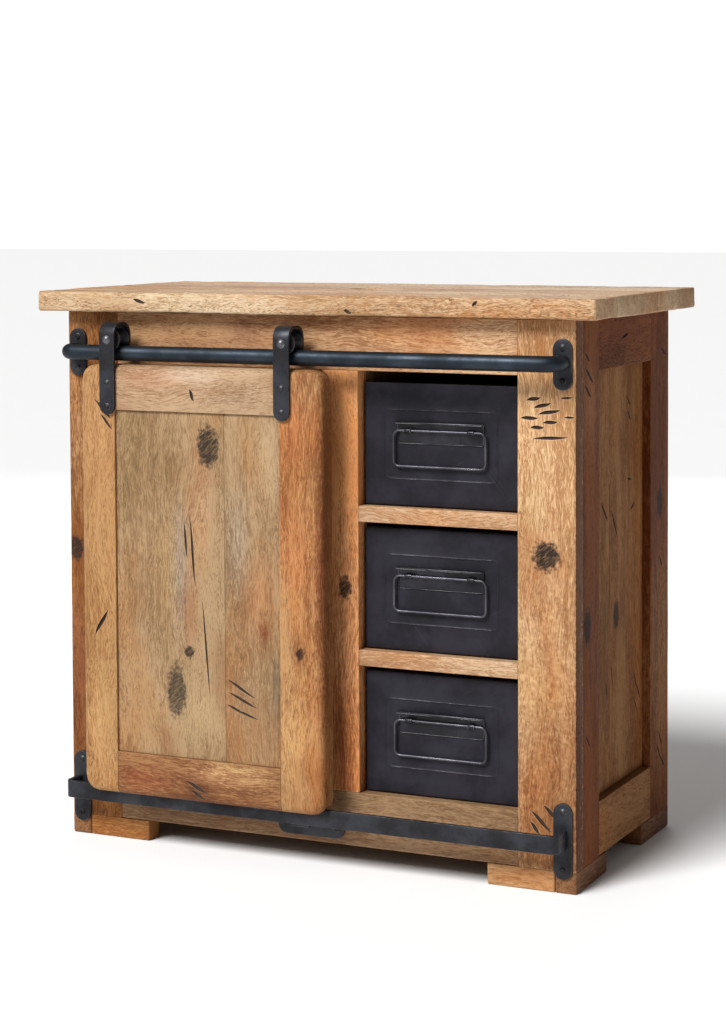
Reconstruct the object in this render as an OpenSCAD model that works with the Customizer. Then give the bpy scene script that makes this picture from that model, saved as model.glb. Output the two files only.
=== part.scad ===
// Bathroom vanity cabinet: solid wood carcass, one sliding barn door, three steel drawers.
// X runs right, Y runs back, Z runs up, in millimetres.
// The origin is on the floor, under the centre of the whole cabinet's box.

/* [Carcass] */
// Width of the carcass under the top
body_w = 640; // [520:1:900]
// Depth of the carcass, front face to back face
body_d = 320; // [260:1:450]
// Height of the carcass, floor to the underside of the top
body_h = 625; // [500:1:800]

/* [Top] */
// Thickness of the top
top_t = 25; // [18:1:40]
// Overhang of the top at each side
top_side_over = 30; // [5:1:60]
// Overhang of the top at the front
top_front_over = 20; // [5:1:40]
// Overhang of the top at the back
top_back_over = 10; // [0:1:40]
// Diameter of the waste hole under the basin
waste_hole_d = 46; // [32:1:60]

/* [Front frame] */
// Thickness of the front frame
front_t = 22; // [15:1:30]
// Width of the left and right stiles
stile_w = 68; // [45:1:90]
// Width of the middle stile
mid_stile_w = 45; // [30:1:60]
// Height of the top rail
rail_top_h = 61; // [45:1:80]
// Height of the bottom rail
rail_bottom_h = 62; // [45:1:80]
// Height of each rail between the drawers
drawer_rail_h = 18; // [14:1:25]

/* [Sides and back] */
// Thickness of the side frames
side_t = 25; // [18:1:32]
// Width of the front post as it shows behind the front frame
post_front_w = 52; // [35:1:70]
// Width of the back post
post_back_w = 68; // [45:1:90]
// Height of the top rail of a side
side_rail_top_h = 59; // [45:1:80]
// Thickness of the side panels
side_panel_t = 12; // [8:1:18]
// Depth of the side panels behind the outer face
side_panel_recess = 10; // [3:1:12]
// Thickness of the back rails
back_rail_t = 22; // [15:1:30]
// Thickness of the back panel
back_panel_t = 6; // [4:1:10]
// Width of the pipe cut-out in the back panel
pipe_cut_w = 120; // [80:1:160]
// Height of the pipe cut-out in the back panel
pipe_cut_h = 100; // [70:1:140]
// Height of the middle of the pipe cut-out above the floor
pipe_cut_z = 350; // [250:1:400]

/* [Inside] */
// Thickness of the bottom board and the shelves
shelf_t = 12; // [9:1:18]
// Thickness of the divider
divider_t = 18; // [12:1:22]
// Thickness of the inner wall at the right of the drawers
drawer_wall_t = 12; // [9:1:18]

/* [Feet] */
// Height of the feet
foot_h = 24; // [15:1:40]
// Thickness of the foot boards
foot_t = 25; // [18:1:32]
// Length of a foot along the front, over both of its boards
foot_len_x = 105; // [80:1:140]
// Length of a foot along the side
foot_len_y = 100; // [70:1:120]

/* [Round bar] */
// Diameter of the round bar
bar_d = 18; // [12:0.1:24]
// Distance from the middle of the round bar up to the top
bar_drop = 46; // [38:1:60]
// Radius of the bends at its ends, on the centre line
bar_bend_r = 14; // [12:1:20]
// Distance of the bar's back-turned ends from the sides of the carcass
bar_end_inset = 15; // [12:1:30]

/* [Flat bar] */
// Height of the flat guide bar
guide_h = 20; // [14:1:26]
// Thickness of the flat guide bar
guide_t = 5; // [3:0.5:6]
// Height of the middle of the guide bar above the feet
guide_rise = 37; // [32:1:45]

/* [Fixing plates] */
// Width of the fixing plates
plate_w = 22; // [16:1:26]
// Thickness of the fixing plates
plate_t = 3; // [2:0.5:4]
// Length of the plates of the round bar
bar_plate_len = 56; // [50:1:70]
// Distance between the screws of a round bar plate
bar_plate_pitch = 36; // [32:1:44]
// Length of the plates of the guide bar
guide_plate_len = 84; // [70:1:95]
// Distance between the screws of a guide bar plate
guide_plate_pitch = 64; // [54:1:72]
// How far the end plates' middles lie below the middle of the guide bar
guide_plate_drop = 3; // [0:1:4]

/* [Door] */
// Lap of the door over each side of its opening
door_lap = 23; // [15:1:30]
// Thickness of the door frame
door_t = 25; // [20:1:30]
// Width of the door's left stile
door_stile_left_w = 46; // [35:1:70]
// Width of the door's right stile
door_stile_right_w = 54; // [35:1:70]
// Height of the door's top rail
door_rail_top_h = 52; // [40:1:70]
// Height of the door's bottom rail
door_rail_bottom_h = 50; // [40:1:70]
// Depth of the door panel behind the frame
door_panel_recess = 3; // [1:0.5:5]
// Thickness of the door panel
door_panel_t = 10; // [8:1:14]
// Radius of the door's corners
door_corner_r = 18; // [8:1:30]
// Radius of the door's rounded outer edges
door_edge_r = 8; // [3:1:10]
// Gap between the round bar and the top of the door
door_bar_gap = 4; // [2:1:8]
// How far the door's groove reaches down over the guide bar
door_guide_lap = 5; // [3:1:8]
// Play of the groove at each side of the guide bar
guide_play = 1.5; // [0.5:0.5:3]

/* [Hangers] */
// Width of a hanger strap
strap_w = 20; // [14:1:26]
// Thickness of a hanger strap
strap_t = 3.5; // [2.5:0.5:5]
// Height of a hanger strap from its lower end to the top of its bend
strap_len = 106; // [90:1:130]
// Outer radius of the bends at the top of a strap
strap_bend_r = 15; // [12:1:17]
// Length of the short leg behind the roller
strap_back_len = 37; // [34:1:42]
// Distance of the left strap's middle from the door's left edge
strap_inset_left = 38; // [25:1:60]
// Distance of the right strap's middle from the door's right edge
strap_inset_right = 49; // [25:1:60]
// Radius of the roller at the floor of its groove
roller_floor_r = 7; // [6:0.5:10]
// Height of the roller's flanges above the groove floor
roller_flange = 6; // [4:0.5:8]
// Width of the roller
roller_w = 22; // [20:0.5:26]
// Side play of the roller inside the strap
roller_play = 5; // [3:0.5:7]
// Diameter of the roller's axle bolt
axle_d = 6; // [5:0.5:8]

/* [Drawers] */
// Width of the drawer bay
bay_w = 192; // [150:1:230]
// Extra height of the top bay
top_bay_extra = 7; // [0:1:15]
// Gap at each side of a drawer
drawer_side_gap = 3; // [1.5:0.5:5]
// Gap above a drawer
drawer_top_gap = 6; // [3:0.5:10]
// Gap under a drawer
drawer_rest = 1; // [0.5:0.5:2]
// Depth of the drawer fronts behind the frame's front face
drawer_recess = 12; // [10:1:16]
// Thickness of the drawers' sheet steel
sheet_t = 1.2; // [0.8:0.1:2]
// Space behind a drawer
drawer_back_gap = 20; // [5:1:60]
// How far the tray walls stay under the top of the drawer front
tray_drop = 12; // [5:1:40]
// Width of the pressed border on a drawer front
border_w = 138; // [110:1:150]
// Height of the pressed border on a drawer front
border_h = 80; // [60:1:90]
// Width of the pressed bead
bead_w = 2.4; // [1.5:0.1:4]

/* [Drawer pulls] */
// Width of the pull ring, over the wire's centre lines
ring_w = 111; // [80:1:120]
// Height of the pull ring, over the wire's centre lines
ring_h = 40; // [28:1:44]
// Diameter of the ring's wire
wire_d = 3; // [2.5:0.1:4]
// Radius of the ring's corners, on the centre line
ring_corner_r = 7; // [5:1:10]
// Height of the ring's axis above the middle of the drawer front
ring_rise = 16; // [10:1:20]
// Width of the folded plate that holds the ring
tab_w = 104; // [70:1:110]
// Height of the folded plate
tab_h = 25; // [20:1:30]
// How far the folded plate stands out over the ring
tab_fold = 6; // [5:0.5:8]
// Height of the folded plate's top above the ring's eyes
lip_rise = 7.5; // [3:0.5:12]
// Height of the fold's turned-down edge
lip_h = 2.4; // [2:0.1:5]

/* [Hidden] */
$fn = 48;
screw_head_r = 4.2;
screw_head_h = 1.6;
screw_shank_r = 1.8;
screw_hole_play = 0.3;
screw_depth = 14;
bolt_head_r = 5;
bolt_head_h = 2.5;
bolt_hole_play = 0.1;
roller_bore_play = 0.4;
spacer_wall = 1.5;
spacer_gap = 0.5;
rolling_gap = 0.3;
groove_play = 0.5;
groove_head_room = 4;
eye_len = 8;
eye_wall = 1;
eye_play = 0.4;
eye_spread = 38;
flange_depth = 12;
flange_gap = 0.2;
strap_standoff = 11;
cut = 1;

// Front frame openings and the inside
half_w = body_w / 2;
stile_in = half_w - stile_w;
side_in = half_w - side_t;
bay_left = stile_in - bay_w;
mid_left = bay_left - mid_stile_w;
open_low = foot_h + rail_bottom_h;
open_high = body_h - rail_top_h;
bay_h = (open_high - open_low - 2 * drawer_rail_h - top_bay_extra) / 3;
bay_floor = [for (i = [0:2]) open_low + i * (bay_h + drawer_rail_h)];
panel_front = body_d - back_rail_t - back_panel_t;
top_len = body_w + 2 * top_side_over;
top_depth = body_d + top_front_over + top_back_over;
plank_w = top_depth / 5;

// Round bar, straps and door, front to back
strap_gap = roller_w + 2 * roller_play;
strap_back_y = -strap_standoff;
strap_front_y = strap_back_y - strap_gap - 2 * strap_t;
bar_y = (strap_front_y + strap_back_y) / 2;
bar_z = body_h - bar_drop;
bar_r = bar_d / 2;
axle_z = bar_z + bar_r + rolling_gap + roller_floor_r;
roller_r = roller_floor_r + roller_flange;
strap_top = axle_z + roller_r + strap_t + 3;
bar_end_x = half_w - bar_end_inset;
guide_z = foot_h + guide_rise;
door_front_y = strap_front_y + strap_t;
door_left = -stile_in - door_lap;
door_right = mid_left + door_lap;
door_bottom = guide_z + guide_h / 2 - door_guide_lap;
door_top = bar_z - bar_r - door_bar_gap;
strap_left_x = door_left + strap_inset_left;
strap_right_x = door_right - strap_inset_right;
hardware_proud = -strap_front_y + bolt_head_h;

// The rollers stop against the bends of the round bar, or the door against the guide bar's ends
roller_reach = bar_end_x - bar_bend_r - roller_r - 1;
door_edge_in = door_corner_r - sqrt(door_corner_r ^ 2 - (door_corner_r - door_guide_lap) ^ 2);
door_reach = bar_end_x + door_edge_in - 1;
travel_left = min(strap_left_x + roller_reach, door_left + door_reach);
travel_right = min(roller_reach - strap_right_x, door_reach - door_right);

// Drawers
drawer_w = bay_w - 2 * drawer_side_gap;
drawer_h = bay_h - drawer_rest - drawer_top_gap;
drawer_x = bay_left + bay_w / 2;
drawer_back_y = panel_front - drawer_back_gap;
ring_z = drawer_h / 2 + ring_rise;
ring_y = drawer_recess - sheet_t - eye_wall - eye_play - wire_d / 2 - 0.2;

// Front face of the carcass, with the origin under the middle of everything
y_face = (hardware_proud - body_d - top_back_over) / 2;

echo(y_face = y_face, door_left = door_left, door_right = door_right, door_bottom = door_bottom);
echo(door_top = door_top, travel_left = travel_left, travel_right = travel_right);
echo(axle_z = axle_z, bar_y = bar_y, strap_left_x = strap_left_x, strap_right_x = strap_right_x);
echo(ring_y = ring_y, ring_z = ring_z, drawer_h = drawer_h, bay_floor = bay_floor);
echo(drawer_x = drawer_x, drawer_back_y = drawer_back_y, strap_top = strap_top);

// Wood and iron colours
honey = [0.72, 0.47, 0.24];
pale = [0.78, 0.59, 0.35];
russet = [0.56, 0.32, 0.17];
brown = [0.42, 0.26, 0.14];
iron = [0.16, 0.17, 0.19];
steel_black = [0.10, 0.09, 0.12];
bright = [0.55, 0.55, 0.57];

// A box from its low corner to its high corner, in cabinet coordinates
module block(low, high) {
    translate([low[0], low[1] + y_face, low[2]]) cube(high - low);
}

// Puts its children at a place in cabinet coordinates
module at(x, y, z) {
    translate([x, y + y_face, z]) children();
}

// A cylinder along +Y from the origin
module along_y(r, len) {
    rotate([-90, 0, 0]) cylinder(r = r, h = len);
}

// A cylinder along +X from the origin
module along_x(r, len) {
    rotate([0, 90, 0]) cylinder(r = r, h = len);
}

// ---- Top ----

module top_board(number) {
    y = -top_front_over + (number - 1) * plank_w;
    block([-top_len / 2, y, body_h], [top_len / 2, y + plank_w, body_h + top_t]);
}

module top_board_3() {
    color(pale) difference() {
        top_board(3);
        at(0, -top_front_over + top_depth / 2, body_h - cut)
            cylinder(d = waste_hole_d, h = top_t + 2 * cut);
    }
}

// ---- Front frame ----

module front_stile(left, width, low, high) {
    block([left, 0, low], [left + width, front_t, high]);
}

module front_rail(low, high) {
    block([-stile_in, 0, low], [stile_in, front_t, high]);
}

module drawer_rails() {
    color(pale) for (i = [1:2])
        block([bay_left, 0, bay_floor[i] - drawer_rail_h], [stile_in, front_t, bay_floor[i]]);
}

// ---- Sides, as frame and panel; side is -1 for left and 1 for right ----

module side_board(side, inner, outer, y, z) {
    low_x = side > 0 ? half_w - outer : -half_w + inner;
    block([low_x, y[0], z[0]], [low_x + outer - inner, y[1], z[1]]);
}

module side_post_front(side) {
    side_board(side, 0, side_t, [front_t, front_t + post_front_w], [foot_h, body_h]);
}

module side_post_back(side) {
    side_board(side, 0, side_t, [body_d - post_back_w, body_d], [foot_h, body_h]);
}

module side_rail(side, z) {
    side_board(side, 0, side_t, [front_t + post_front_w, body_d - post_back_w], z);
}

module side_panel(side) {
    side_board(side, side_panel_recess, side_panel_recess + side_panel_t,
        [front_t + post_front_w, body_d - post_back_w],
        [open_low, body_h - side_rail_top_h]);
}

// ---- Back and inside ----

module back_rail(low, high) {
    block([-side_in, body_d - back_rail_t, low], [side_in, body_d, high]);
}

module back_panel() {
    cut_x = (-side_in + bay_left - divider_t) / 2;
    color(pale) difference() {
        block([-side_in, panel_front, open_low], [side_in, panel_front + back_panel_t, body_h]);
        block([cut_x - pipe_cut_w / 2, panel_front - cut, pipe_cut_z - pipe_cut_h / 2],
            [cut_x + pipe_cut_w / 2, panel_front + back_panel_t + cut, pipe_cut_z + pipe_cut_h / 2]);
    }
}

module bottom_board() {
    color(honey) block([-side_in, front_t, open_low - shelf_t],
        [side_in, panel_front + back_panel_t, open_low]);
}

module upright(left, thickness) {
    block([left, front_t, open_low], [left + thickness, panel_front, body_h]);
}

module drawer_shelves() {
    color(honey) for (i = [1:2])
        block([bay_left, front_t, bay_floor[i] - shelf_t], [stile_in, panel_front, bay_floor[i]]);
}

// ---- Feet: a side board whose end shows at the front, and a short board beside it ----

module foot(side_x, side_y) {
    outer_y = side_y < 0 ? [0, foot_len_y] : [body_d - foot_len_y, body_d];
    short_y = side_y < 0 ? [0, foot_t] : [body_d - foot_t, body_d];
    near = half_w - foot_t;
    far = half_w - foot_len_x;
    color(russet) {
        block([side_x > 0 ? near : -half_w, outer_y[0], 0],
            [side_x > 0 ? half_w : -near, outer_y[1], foot_h]);
        block([side_x > 0 ? far : -near, short_y[0], 0],
            [side_x > 0 ? near : -far, short_y[1], foot_h]);
    }
}

// ---- Round bar, flat bar and their plates ----

module rail_bar() {
    leg = -bar_y - plate_t - bar_bend_r;
    color(iron) at(0, bar_y, bar_z) {
        translate([-bar_end_x + bar_bend_r, 0, 0]) along_x(bar_r, 2 * (bar_end_x - bar_bend_r));
        for (side = [-1, 1]) translate([side * (bar_end_x - bar_bend_r), bar_bend_r, 0]) {
            rotate([0, 0, side > 0 ? -90 : 180]) rotate_extrude(angle = 90)
                translate([bar_bend_r, 0]) circle(r = bar_r);
            translate([side * bar_bend_r, 0, 0]) along_y(bar_r, leg);
        }
    }
}

// A plate with round ends and two screw holes, standing on the XZ plane in front of y = 0
module plate(len, pitch) {
    rotate([90, 0, 0]) linear_extrude(plate_t) difference() {
        union() {
            square([plate_w, len - plate_w], center = true);
            for (s = [-1, 1]) translate([0, s * (len - plate_w) / 2]) circle(d = plate_w);
        }
        for (s = [-1, 1]) translate([0, s * pitch / 2]) circle(r = screw_shank_r + screw_hole_play);
    }
}

module rail_plates() {
    color(iron) for (side = [-1, 1])
        at(side * bar_end_x, 0, bar_z - 2) plate(bar_plate_len, bar_plate_pitch);
}

// The flat bar turns back at both ends, and a short strip carries it in the middle
module guide_bar() {
    half = bar_end_x + guide_t;
    low = guide_z - guide_h / 2;
    color(iron) {
        block([-half, bar_y - guide_t / 2, low], [half, bar_y + guide_t / 2, low + guide_h]);
        for (side = [-1, 1])
            block([side > 0 ? half - guide_t : -half, bar_y - guide_t / 2, low],
                [side > 0 ? half : -half + guide_t, -plate_t, low + guide_h]);
        block([-plate_w / 2, bar_y, low - 3], [plate_w / 2, -plate_t, low + 3]);
    }
}

module guide_plates() {
    color(iron) {
        for (side = [-1, 1]) at(side * bar_end_x, 0, guide_z - guide_plate_drop)
            plate(guide_plate_len, guide_plate_pitch);
        at(0, 0, guide_z - guide_h / 2 - plate_w / 2 + 2)
            rotate([0, 90, 0]) plate(guide_plate_len, guide_plate_pitch);
    }
}

// A wood screw: domed head at y = 0 and in front of it, shank going back
module screw(through) {
    intersection() {
        translate([0, screw_head_r - screw_head_h, 0]) sphere(r = screw_head_r);
        translate([0, -screw_head_h - cut, 0]) along_y(screw_head_r, screw_head_h + cut);
    }
    along_y(screw_shank_r, through + screw_depth);
}

module bracket_screws() {
    color(iron) {
        for (side = [-1, 1], s = [-1, 1]) {
            at(side * bar_end_x, -plate_t, bar_z - 2 + s * bar_plate_pitch / 2) screw(plate_t);
            at(side * bar_end_x, -plate_t, guide_z - guide_plate_drop + s * guide_plate_pitch / 2)
                screw(plate_t);
        }
        for (s = [-1, 1])
            at(s * guide_plate_pitch / 2, -plate_t, guide_z - guide_h / 2 - plate_w / 2 + 2)
                screw(plate_t);
    }
}

// ---- Door ----

// The door's whole outline, with round corners and round outer front edges
module door_form() {
    w = door_right - door_left;
    h = door_top - door_bottom;
    intersection() {
        at((door_left + door_right) / 2, door_front_y, door_bottom + h / 2) rotate([-90, 0, 0])
            linear_extrude(door_t) rounded(w, h, door_corner_r);
        at((door_left + door_right) / 2, door_front_y, door_bottom)
            linear_extrude(h) front_rounded(w, door_t);
        at(door_left, door_front_y, door_bottom + h / 2) rotate([90, 0, 90])
            linear_extrude(w) rotate(-90) mirror([1, 0]) front_rounded(h, door_t);
    }
}

// A rectangle about the origin with round corners
module rounded(w, h, r) {
    square([w - 2 * r, h], center = true);
    square([w, h - 2 * r], center = true);
    for (x = [-1, 1], y = [-1, 1]) translate([x * (w / 2 - r), y * (h / 2 - r)]) circle(r = r);
}

// A section whose front corners are round, from y = 0 back
module front_rounded(w, depth) {
    r = door_edge_r;
    translate([-w / 2, r]) square([w, depth - r]);
    translate([-w / 2 + r, 0]) square([w - 2 * r, depth]);
    for (x = [-1, 1]) translate([x * (w / 2 - r), r]) circle(r = r);
}

// The groove that runs on the guide bar
module door_groove() {
    width = guide_t + 2 * guide_play;
    block([door_left - cut, bar_y - width / 2, door_bottom - cut],
        [door_right + cut, bar_y + width / 2, door_bottom + door_guide_lap + groove_head_room]);
}

module door_piece(low_x, high_x, low_z, high_z) {
    difference() {
        intersection() {
            door_form();
            block([low_x, door_front_y - cut, low_z], [high_x, door_front_y + door_t + cut, high_z]);
        }
        door_groove();
    }
}

module door_panel() {
    color(pale) block(
        [door_left + door_stile_left_w, door_front_y + door_panel_recess, door_bottom + door_rail_bottom_h],
        [door_right - door_stile_right_w, door_front_y + door_panel_recess + door_panel_t,
            door_top - door_rail_top_h]);
}

// ---- Hangers and rollers ----

// The strap is an upside-down U with a long front leg and a short back leg
module strap(x) {
    depth = strap_gap + 2 * strap_t;
    low = strap_top - strap_len;
    r = strap_bend_r;
    color(iron) at(x, 0, 0) intersection() {
        translate([-strap_w / 2, 0, 0]) difference() {
            strap_side(depth, r, 0, low);
            translate([-cut, 0, 0]) strap_side(strap_gap, r - strap_t, strap_t, low - cut, 2 * cut);
            translate([-cut, strap_front_y + strap_t, low - cut])
                cube([strap_w + 2 * cut, strap_gap + strap_t + cut, strap_len - strap_back_len + cut]);
        }
        union() {
            strap_leg(strap_front_y - cut, strap_t + strap_gap / 2 + cut, low);
            strap_leg(bar_y, strap_gap / 2 + strap_t + cut, strap_top - strap_back_len);
        }
        difference() {
            translate([-strap_w, strap_front_y - cut, low - cut])
                cube([2 * strap_w, depth + 2 * cut, strap_len + 2 * cut]);
            translate([0, strap_front_y - 2 * cut, axle_z])
                along_y(axle_d / 2 + bolt_hole_play, depth + 4 * cut);
            for (z = strap_screw_z()) translate([0, strap_front_y - cut, z])
                along_y(screw_shank_r + screw_hole_play, strap_t + 2 * cut);
        }
    }
}

// Heights of the two screws in a strap
function strap_screw_z() = [strap_top - strap_len + 9, strap_top - strap_len + 36];

// The strap's side view, extruded across its width
module strap_side(depth, r, inset, low, extra = 0) {
    y = strap_front_y + inset;
    high = strap_top - inset;
    translate([0, y, low]) cube([strap_w + extra, depth, high - r - low]);
    translate([0, y + r, high - r - cut]) cube([strap_w + extra, depth - 2 * r, r + cut]);
    for (s = [r, depth - r]) translate([0, y + s, high - r]) along_x(r, strap_w + extra);
}

// A leg's front view, with a round lower end
module strap_leg(y, depth, low) {
    r = strap_w / 2;
    translate([-r, y, low + r]) cube([strap_w, depth, strap_top - low - r + cut]);
    translate([0, y, low + r]) along_y(r, depth);
}

module strap_screws() {
    color(iron) for (x = [strap_left_x, strap_right_x], z = strap_screw_z())
        at(x, strap_front_y, z) screw(strap_t);
}

module roller_axles() {
    reach = strap_gap + 2 * strap_t;
    spacer_len = roller_play - spacer_gap;
    color(bright) for (x = [strap_left_x, strap_right_x]) at(x, strap_front_y, axle_z) {
        intersection() {
            ball = (bolt_head_r * bolt_head_r + bolt_head_h * bolt_head_h) / (2 * bolt_head_h);
            translate([0, ball - bolt_head_h, 0]) sphere(r = ball);
            translate([0, -bolt_head_h - cut, 0]) along_y(bolt_head_r, bolt_head_h + cut);
        }
        along_y(axle_d / 2, reach);
        for (y = [strap_t, reach - strap_t - spacer_len]) translate([0, y, 0])
            along_y(axle_d / 2 + spacer_wall, spacer_len);
        translate([0, reach, 0]) rotate([-90, 0, 0]) cylinder(r = bolt_head_r, h = 3, $fn = 6);
    }
}

module roller(x) {
    drop = axle_z - bar_z;
    color(iron) at(x, bar_y, axle_z) rotate([90, 0, 0]) rotate_extrude() difference() {
        translate([0, -roller_w / 2]) square([roller_r, roller_w]);
        translate([-cut, -roller_w / 2 - cut])
            square([axle_d / 2 + roller_bore_play + cut, roller_w + 2 * cut]);
        translate([drop, 0]) circle(r = drop - roller_floor_r);
    }
}

// ---- Drawers, counted from the top ----

module drawer_place(number) {
    at(drawer_x, 0, bay_floor[3 - number] + drawer_rest) children();
}

module drawer_tray(number) {
    wall_h = drawer_h - tray_drop;
    half = drawer_w / 2;
    front = drawer_recess + flange_depth + flange_gap;
    back = drawer_back_y;
    color(steel_black) drawer_place(number) {
        translate([-half, front, 0]) cube([drawer_w, back - front, sheet_t]);
        for (x = [-half, half - sheet_t]) translate([x, front, 0])
            cube([sheet_t, back - front, wall_h]);
        translate([-half, back - sheet_t, 0]) cube([drawer_w, sheet_t, wall_h]);
        translate([-half, drawer_recess + sheet_t, sheet_t])
            translate([sheet_t, 0, 0]) cube([drawer_w - 2 * sheet_t, front - drawer_recess, sheet_t]);
    }
}

// The front is a shallow pan with a pressed border
module drawer_front(number) {
    color(steel_black) drawer_place(number) {
        difference() {
            translate([-drawer_w / 2, drawer_recess, 0]) cube([drawer_w, flange_depth, drawer_h]);
            translate([-drawer_w / 2 + sheet_t, drawer_recess + sheet_t, sheet_t])
                cube([drawer_w - 2 * sheet_t, flange_depth, drawer_h - 2 * sheet_t]);
        }
        translate([0, drawer_recess, drawer_h / 2]) rotate([90, 0, 0]) linear_extrude(0.6) difference() {
            square([border_w, border_h], center = true);
            square([border_w - 2 * bead_w, border_h - 2 * bead_w], center = true);
        }
    }
}

// The folded plate carries the ring in two small eyes under its lip
module pull_plate(number) {
    top = ring_z + eye_play + wire_d / 2 + eye_wall + lip_rise;
    eye_r = wire_d / 2 + eye_play + eye_wall;
    color(iron) drawer_place(number) difference() {
        union() {
            translate([-tab_w / 2, drawer_recess - sheet_t, top - tab_h]) cube([tab_w, sheet_t, tab_h]);
            translate([-tab_w / 2, drawer_recess - sheet_t - tab_fold, top - sheet_t])
                cube([tab_w, tab_fold + sheet_t, sheet_t]);
            translate([-tab_w / 2, drawer_recess - sheet_t - tab_fold, top - lip_h])
                cube([tab_w, sheet_t, lip_h]);
            for (x = [-eye_spread, eye_spread]) translate([x - eye_len / 2, ring_y, ring_z]) {
                along_x(eye_r, eye_len);
                translate([0, 0, -eye_r]) cube([eye_len, drawer_recess - sheet_t - ring_y, eye_r]);
            }
        }
        for (x = [-eye_spread, eye_spread]) translate([x - eye_len / 2 - cut, ring_y, ring_z])
            along_x(wire_d / 2 + eye_play, eye_len + 2 * cut);
    }
}

module ring(number) {
    w = ring_w / 2 - ring_corner_r;
    h = ring_h / 2 - ring_corner_r;
    color(iron) drawer_place(number) translate([0, ring_y, ring_z - ring_h / 2]) {
        for (z = [-1, 1]) translate([-w, 0, z * ring_h / 2]) along_x(wire_d / 2, 2 * w);
        for (x = [-1, 1]) translate([x * ring_w / 2, 0, -h]) cylinder(d = wire_d, h = 2 * h);
        for (a = [0:3]) {
            x = a == 0 || a == 3 ? w : -w;
            z = a < 2 ? h : -h;
            translate([x, 0, z]) rotate([90, 0, 0]) rotate([0, 0, a * 90])
                rotate_extrude(angle = 90) translate([ring_corner_r, 0]) circle(d = wire_d);
        }
    }
}

color(pale) top_board(1);  // top_board_1
color(pale) top_board(2);  // top_board_2
top_board_3();
color(pale) top_board(4);  // top_board_4
color(pale) top_board(5);  // top_board_5
color(russet) front_stile(-half_w, stile_w, foot_h, body_h);  // front_stile_left
color(honey) front_stile(mid_left, mid_stile_w, open_low, open_high);  // front_stile_middle
color(honey) front_stile(stile_in, stile_w, foot_h, body_h);  // front_stile_right
color(honey) front_rail(open_high, body_h);  // front_rail_top
color(pale) front_rail(foot_h, open_low);  // front_rail_bottom
drawer_rails();
color(brown) side_post_front(-1);  // side_left_post_front
color(brown) side_post_back(-1);  // side_left_post_back
color(brown) side_rail(-1, [body_h - side_rail_top_h, body_h]);  // side_left_rail_top
color(brown) side_rail(-1, [foot_h, open_low]);  // side_left_rail_bottom
color(brown) side_panel(-1);  // side_left_panel
color(brown) side_post_front(1);  // side_right_post_front
color(brown) side_post_back(1);  // side_right_post_back
color(brown) side_rail(1, [body_h - side_rail_top_h, body_h]);  // side_right_rail_top
color(brown) side_rail(1, [foot_h, open_low]);  // side_right_rail_bottom
color(brown) side_panel(1);  // side_right_panel
color(honey) back_rail(open_high, body_h);  // back_rail_top
color(honey) back_rail(foot_h, open_low);  // back_rail_bottom
back_panel();
bottom_board();
color(honey) upright(bay_left - divider_t, divider_t);  // divider
color(honey) upright(stile_in, drawer_wall_t);  // drawer_wall
drawer_shelves();
foot(-1, -1);  // foot_front_left
foot(1, -1);  // foot_front_right
foot(-1, 1);  // foot_back_left
foot(1, 1);  // foot_back_right
rail_bar();
rail_plates();
guide_bar();
guide_plates();
bracket_screws();
color(pale) door_piece(door_left - cut, door_left + door_stile_left_w, 0, body_h);  // door_stile_left
color(honey) door_piece(door_right - door_stile_right_w, door_right + cut, 0, body_h);  // door_stile_right
color(pale) door_piece(door_left + door_stile_left_w, door_right - door_stile_right_w,  // door_rail_top
        door_top - door_rail_top_h, body_h);
color(russet) door_piece(door_left + door_stile_left_w, door_right - door_stile_right_w,  // door_rail_bottom
        0, door_bottom + door_rail_bottom_h);
door_panel();
strap(strap_left_x);  // strap_left
strap(strap_right_x);  // strap_right
strap_screws();
roller_axles();
roller(strap_left_x);  // roller_left
roller(strap_right_x);  // roller_right
drawer_tray(1);  // drawer_1_tray
drawer_front(1);  // drawer_1_front
pull_plate(1);  // drawer_1_pull_plate
ring(1);  // drawer_1_ring
drawer_tray(2);  // drawer_2_tray
drawer_front(2);  // drawer_2_front
pull_plate(2);  // drawer_2_pull_plate
ring(2);  // drawer_2_ring
drawer_tray(3);  // drawer_3_tray
drawer_front(3);  // drawer_3_front
pull_plate(3);  // drawer_3_pull_plate
ring(3);  // drawer_3_ring
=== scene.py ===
import math

import bmesh
import bpy
from mathutils import Matrix, Vector, noise


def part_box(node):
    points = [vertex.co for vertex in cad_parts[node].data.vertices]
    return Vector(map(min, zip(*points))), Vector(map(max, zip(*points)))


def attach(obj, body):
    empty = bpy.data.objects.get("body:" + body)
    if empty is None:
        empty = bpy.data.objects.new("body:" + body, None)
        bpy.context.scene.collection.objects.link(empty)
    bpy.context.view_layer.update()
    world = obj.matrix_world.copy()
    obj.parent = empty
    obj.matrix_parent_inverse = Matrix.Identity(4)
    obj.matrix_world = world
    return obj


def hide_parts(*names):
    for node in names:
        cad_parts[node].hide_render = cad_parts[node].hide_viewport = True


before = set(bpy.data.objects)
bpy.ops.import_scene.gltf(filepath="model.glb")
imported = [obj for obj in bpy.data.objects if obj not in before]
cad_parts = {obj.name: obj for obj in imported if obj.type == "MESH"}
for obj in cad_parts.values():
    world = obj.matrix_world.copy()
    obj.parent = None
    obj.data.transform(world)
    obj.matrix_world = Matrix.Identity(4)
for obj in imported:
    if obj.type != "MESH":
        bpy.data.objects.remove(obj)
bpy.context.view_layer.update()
print("frame loaded")

mm = 0.001
faceY = -0.13875  # the carcass front face in the shared frame
samePlace = 1e-5  # metres; nearer than this counts as touching
right, back, upward = Vector((1, 0, 0)), Vector((0, 1, 0)), Vector((0, 0, 1))
scene = bpy.context.scene


def place(x, y, z):
    # Cabinet millimetres (y from the carcass front face) to frame metres
    return Vector((x * mm, faceY + y * mm, z * mm))


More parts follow.
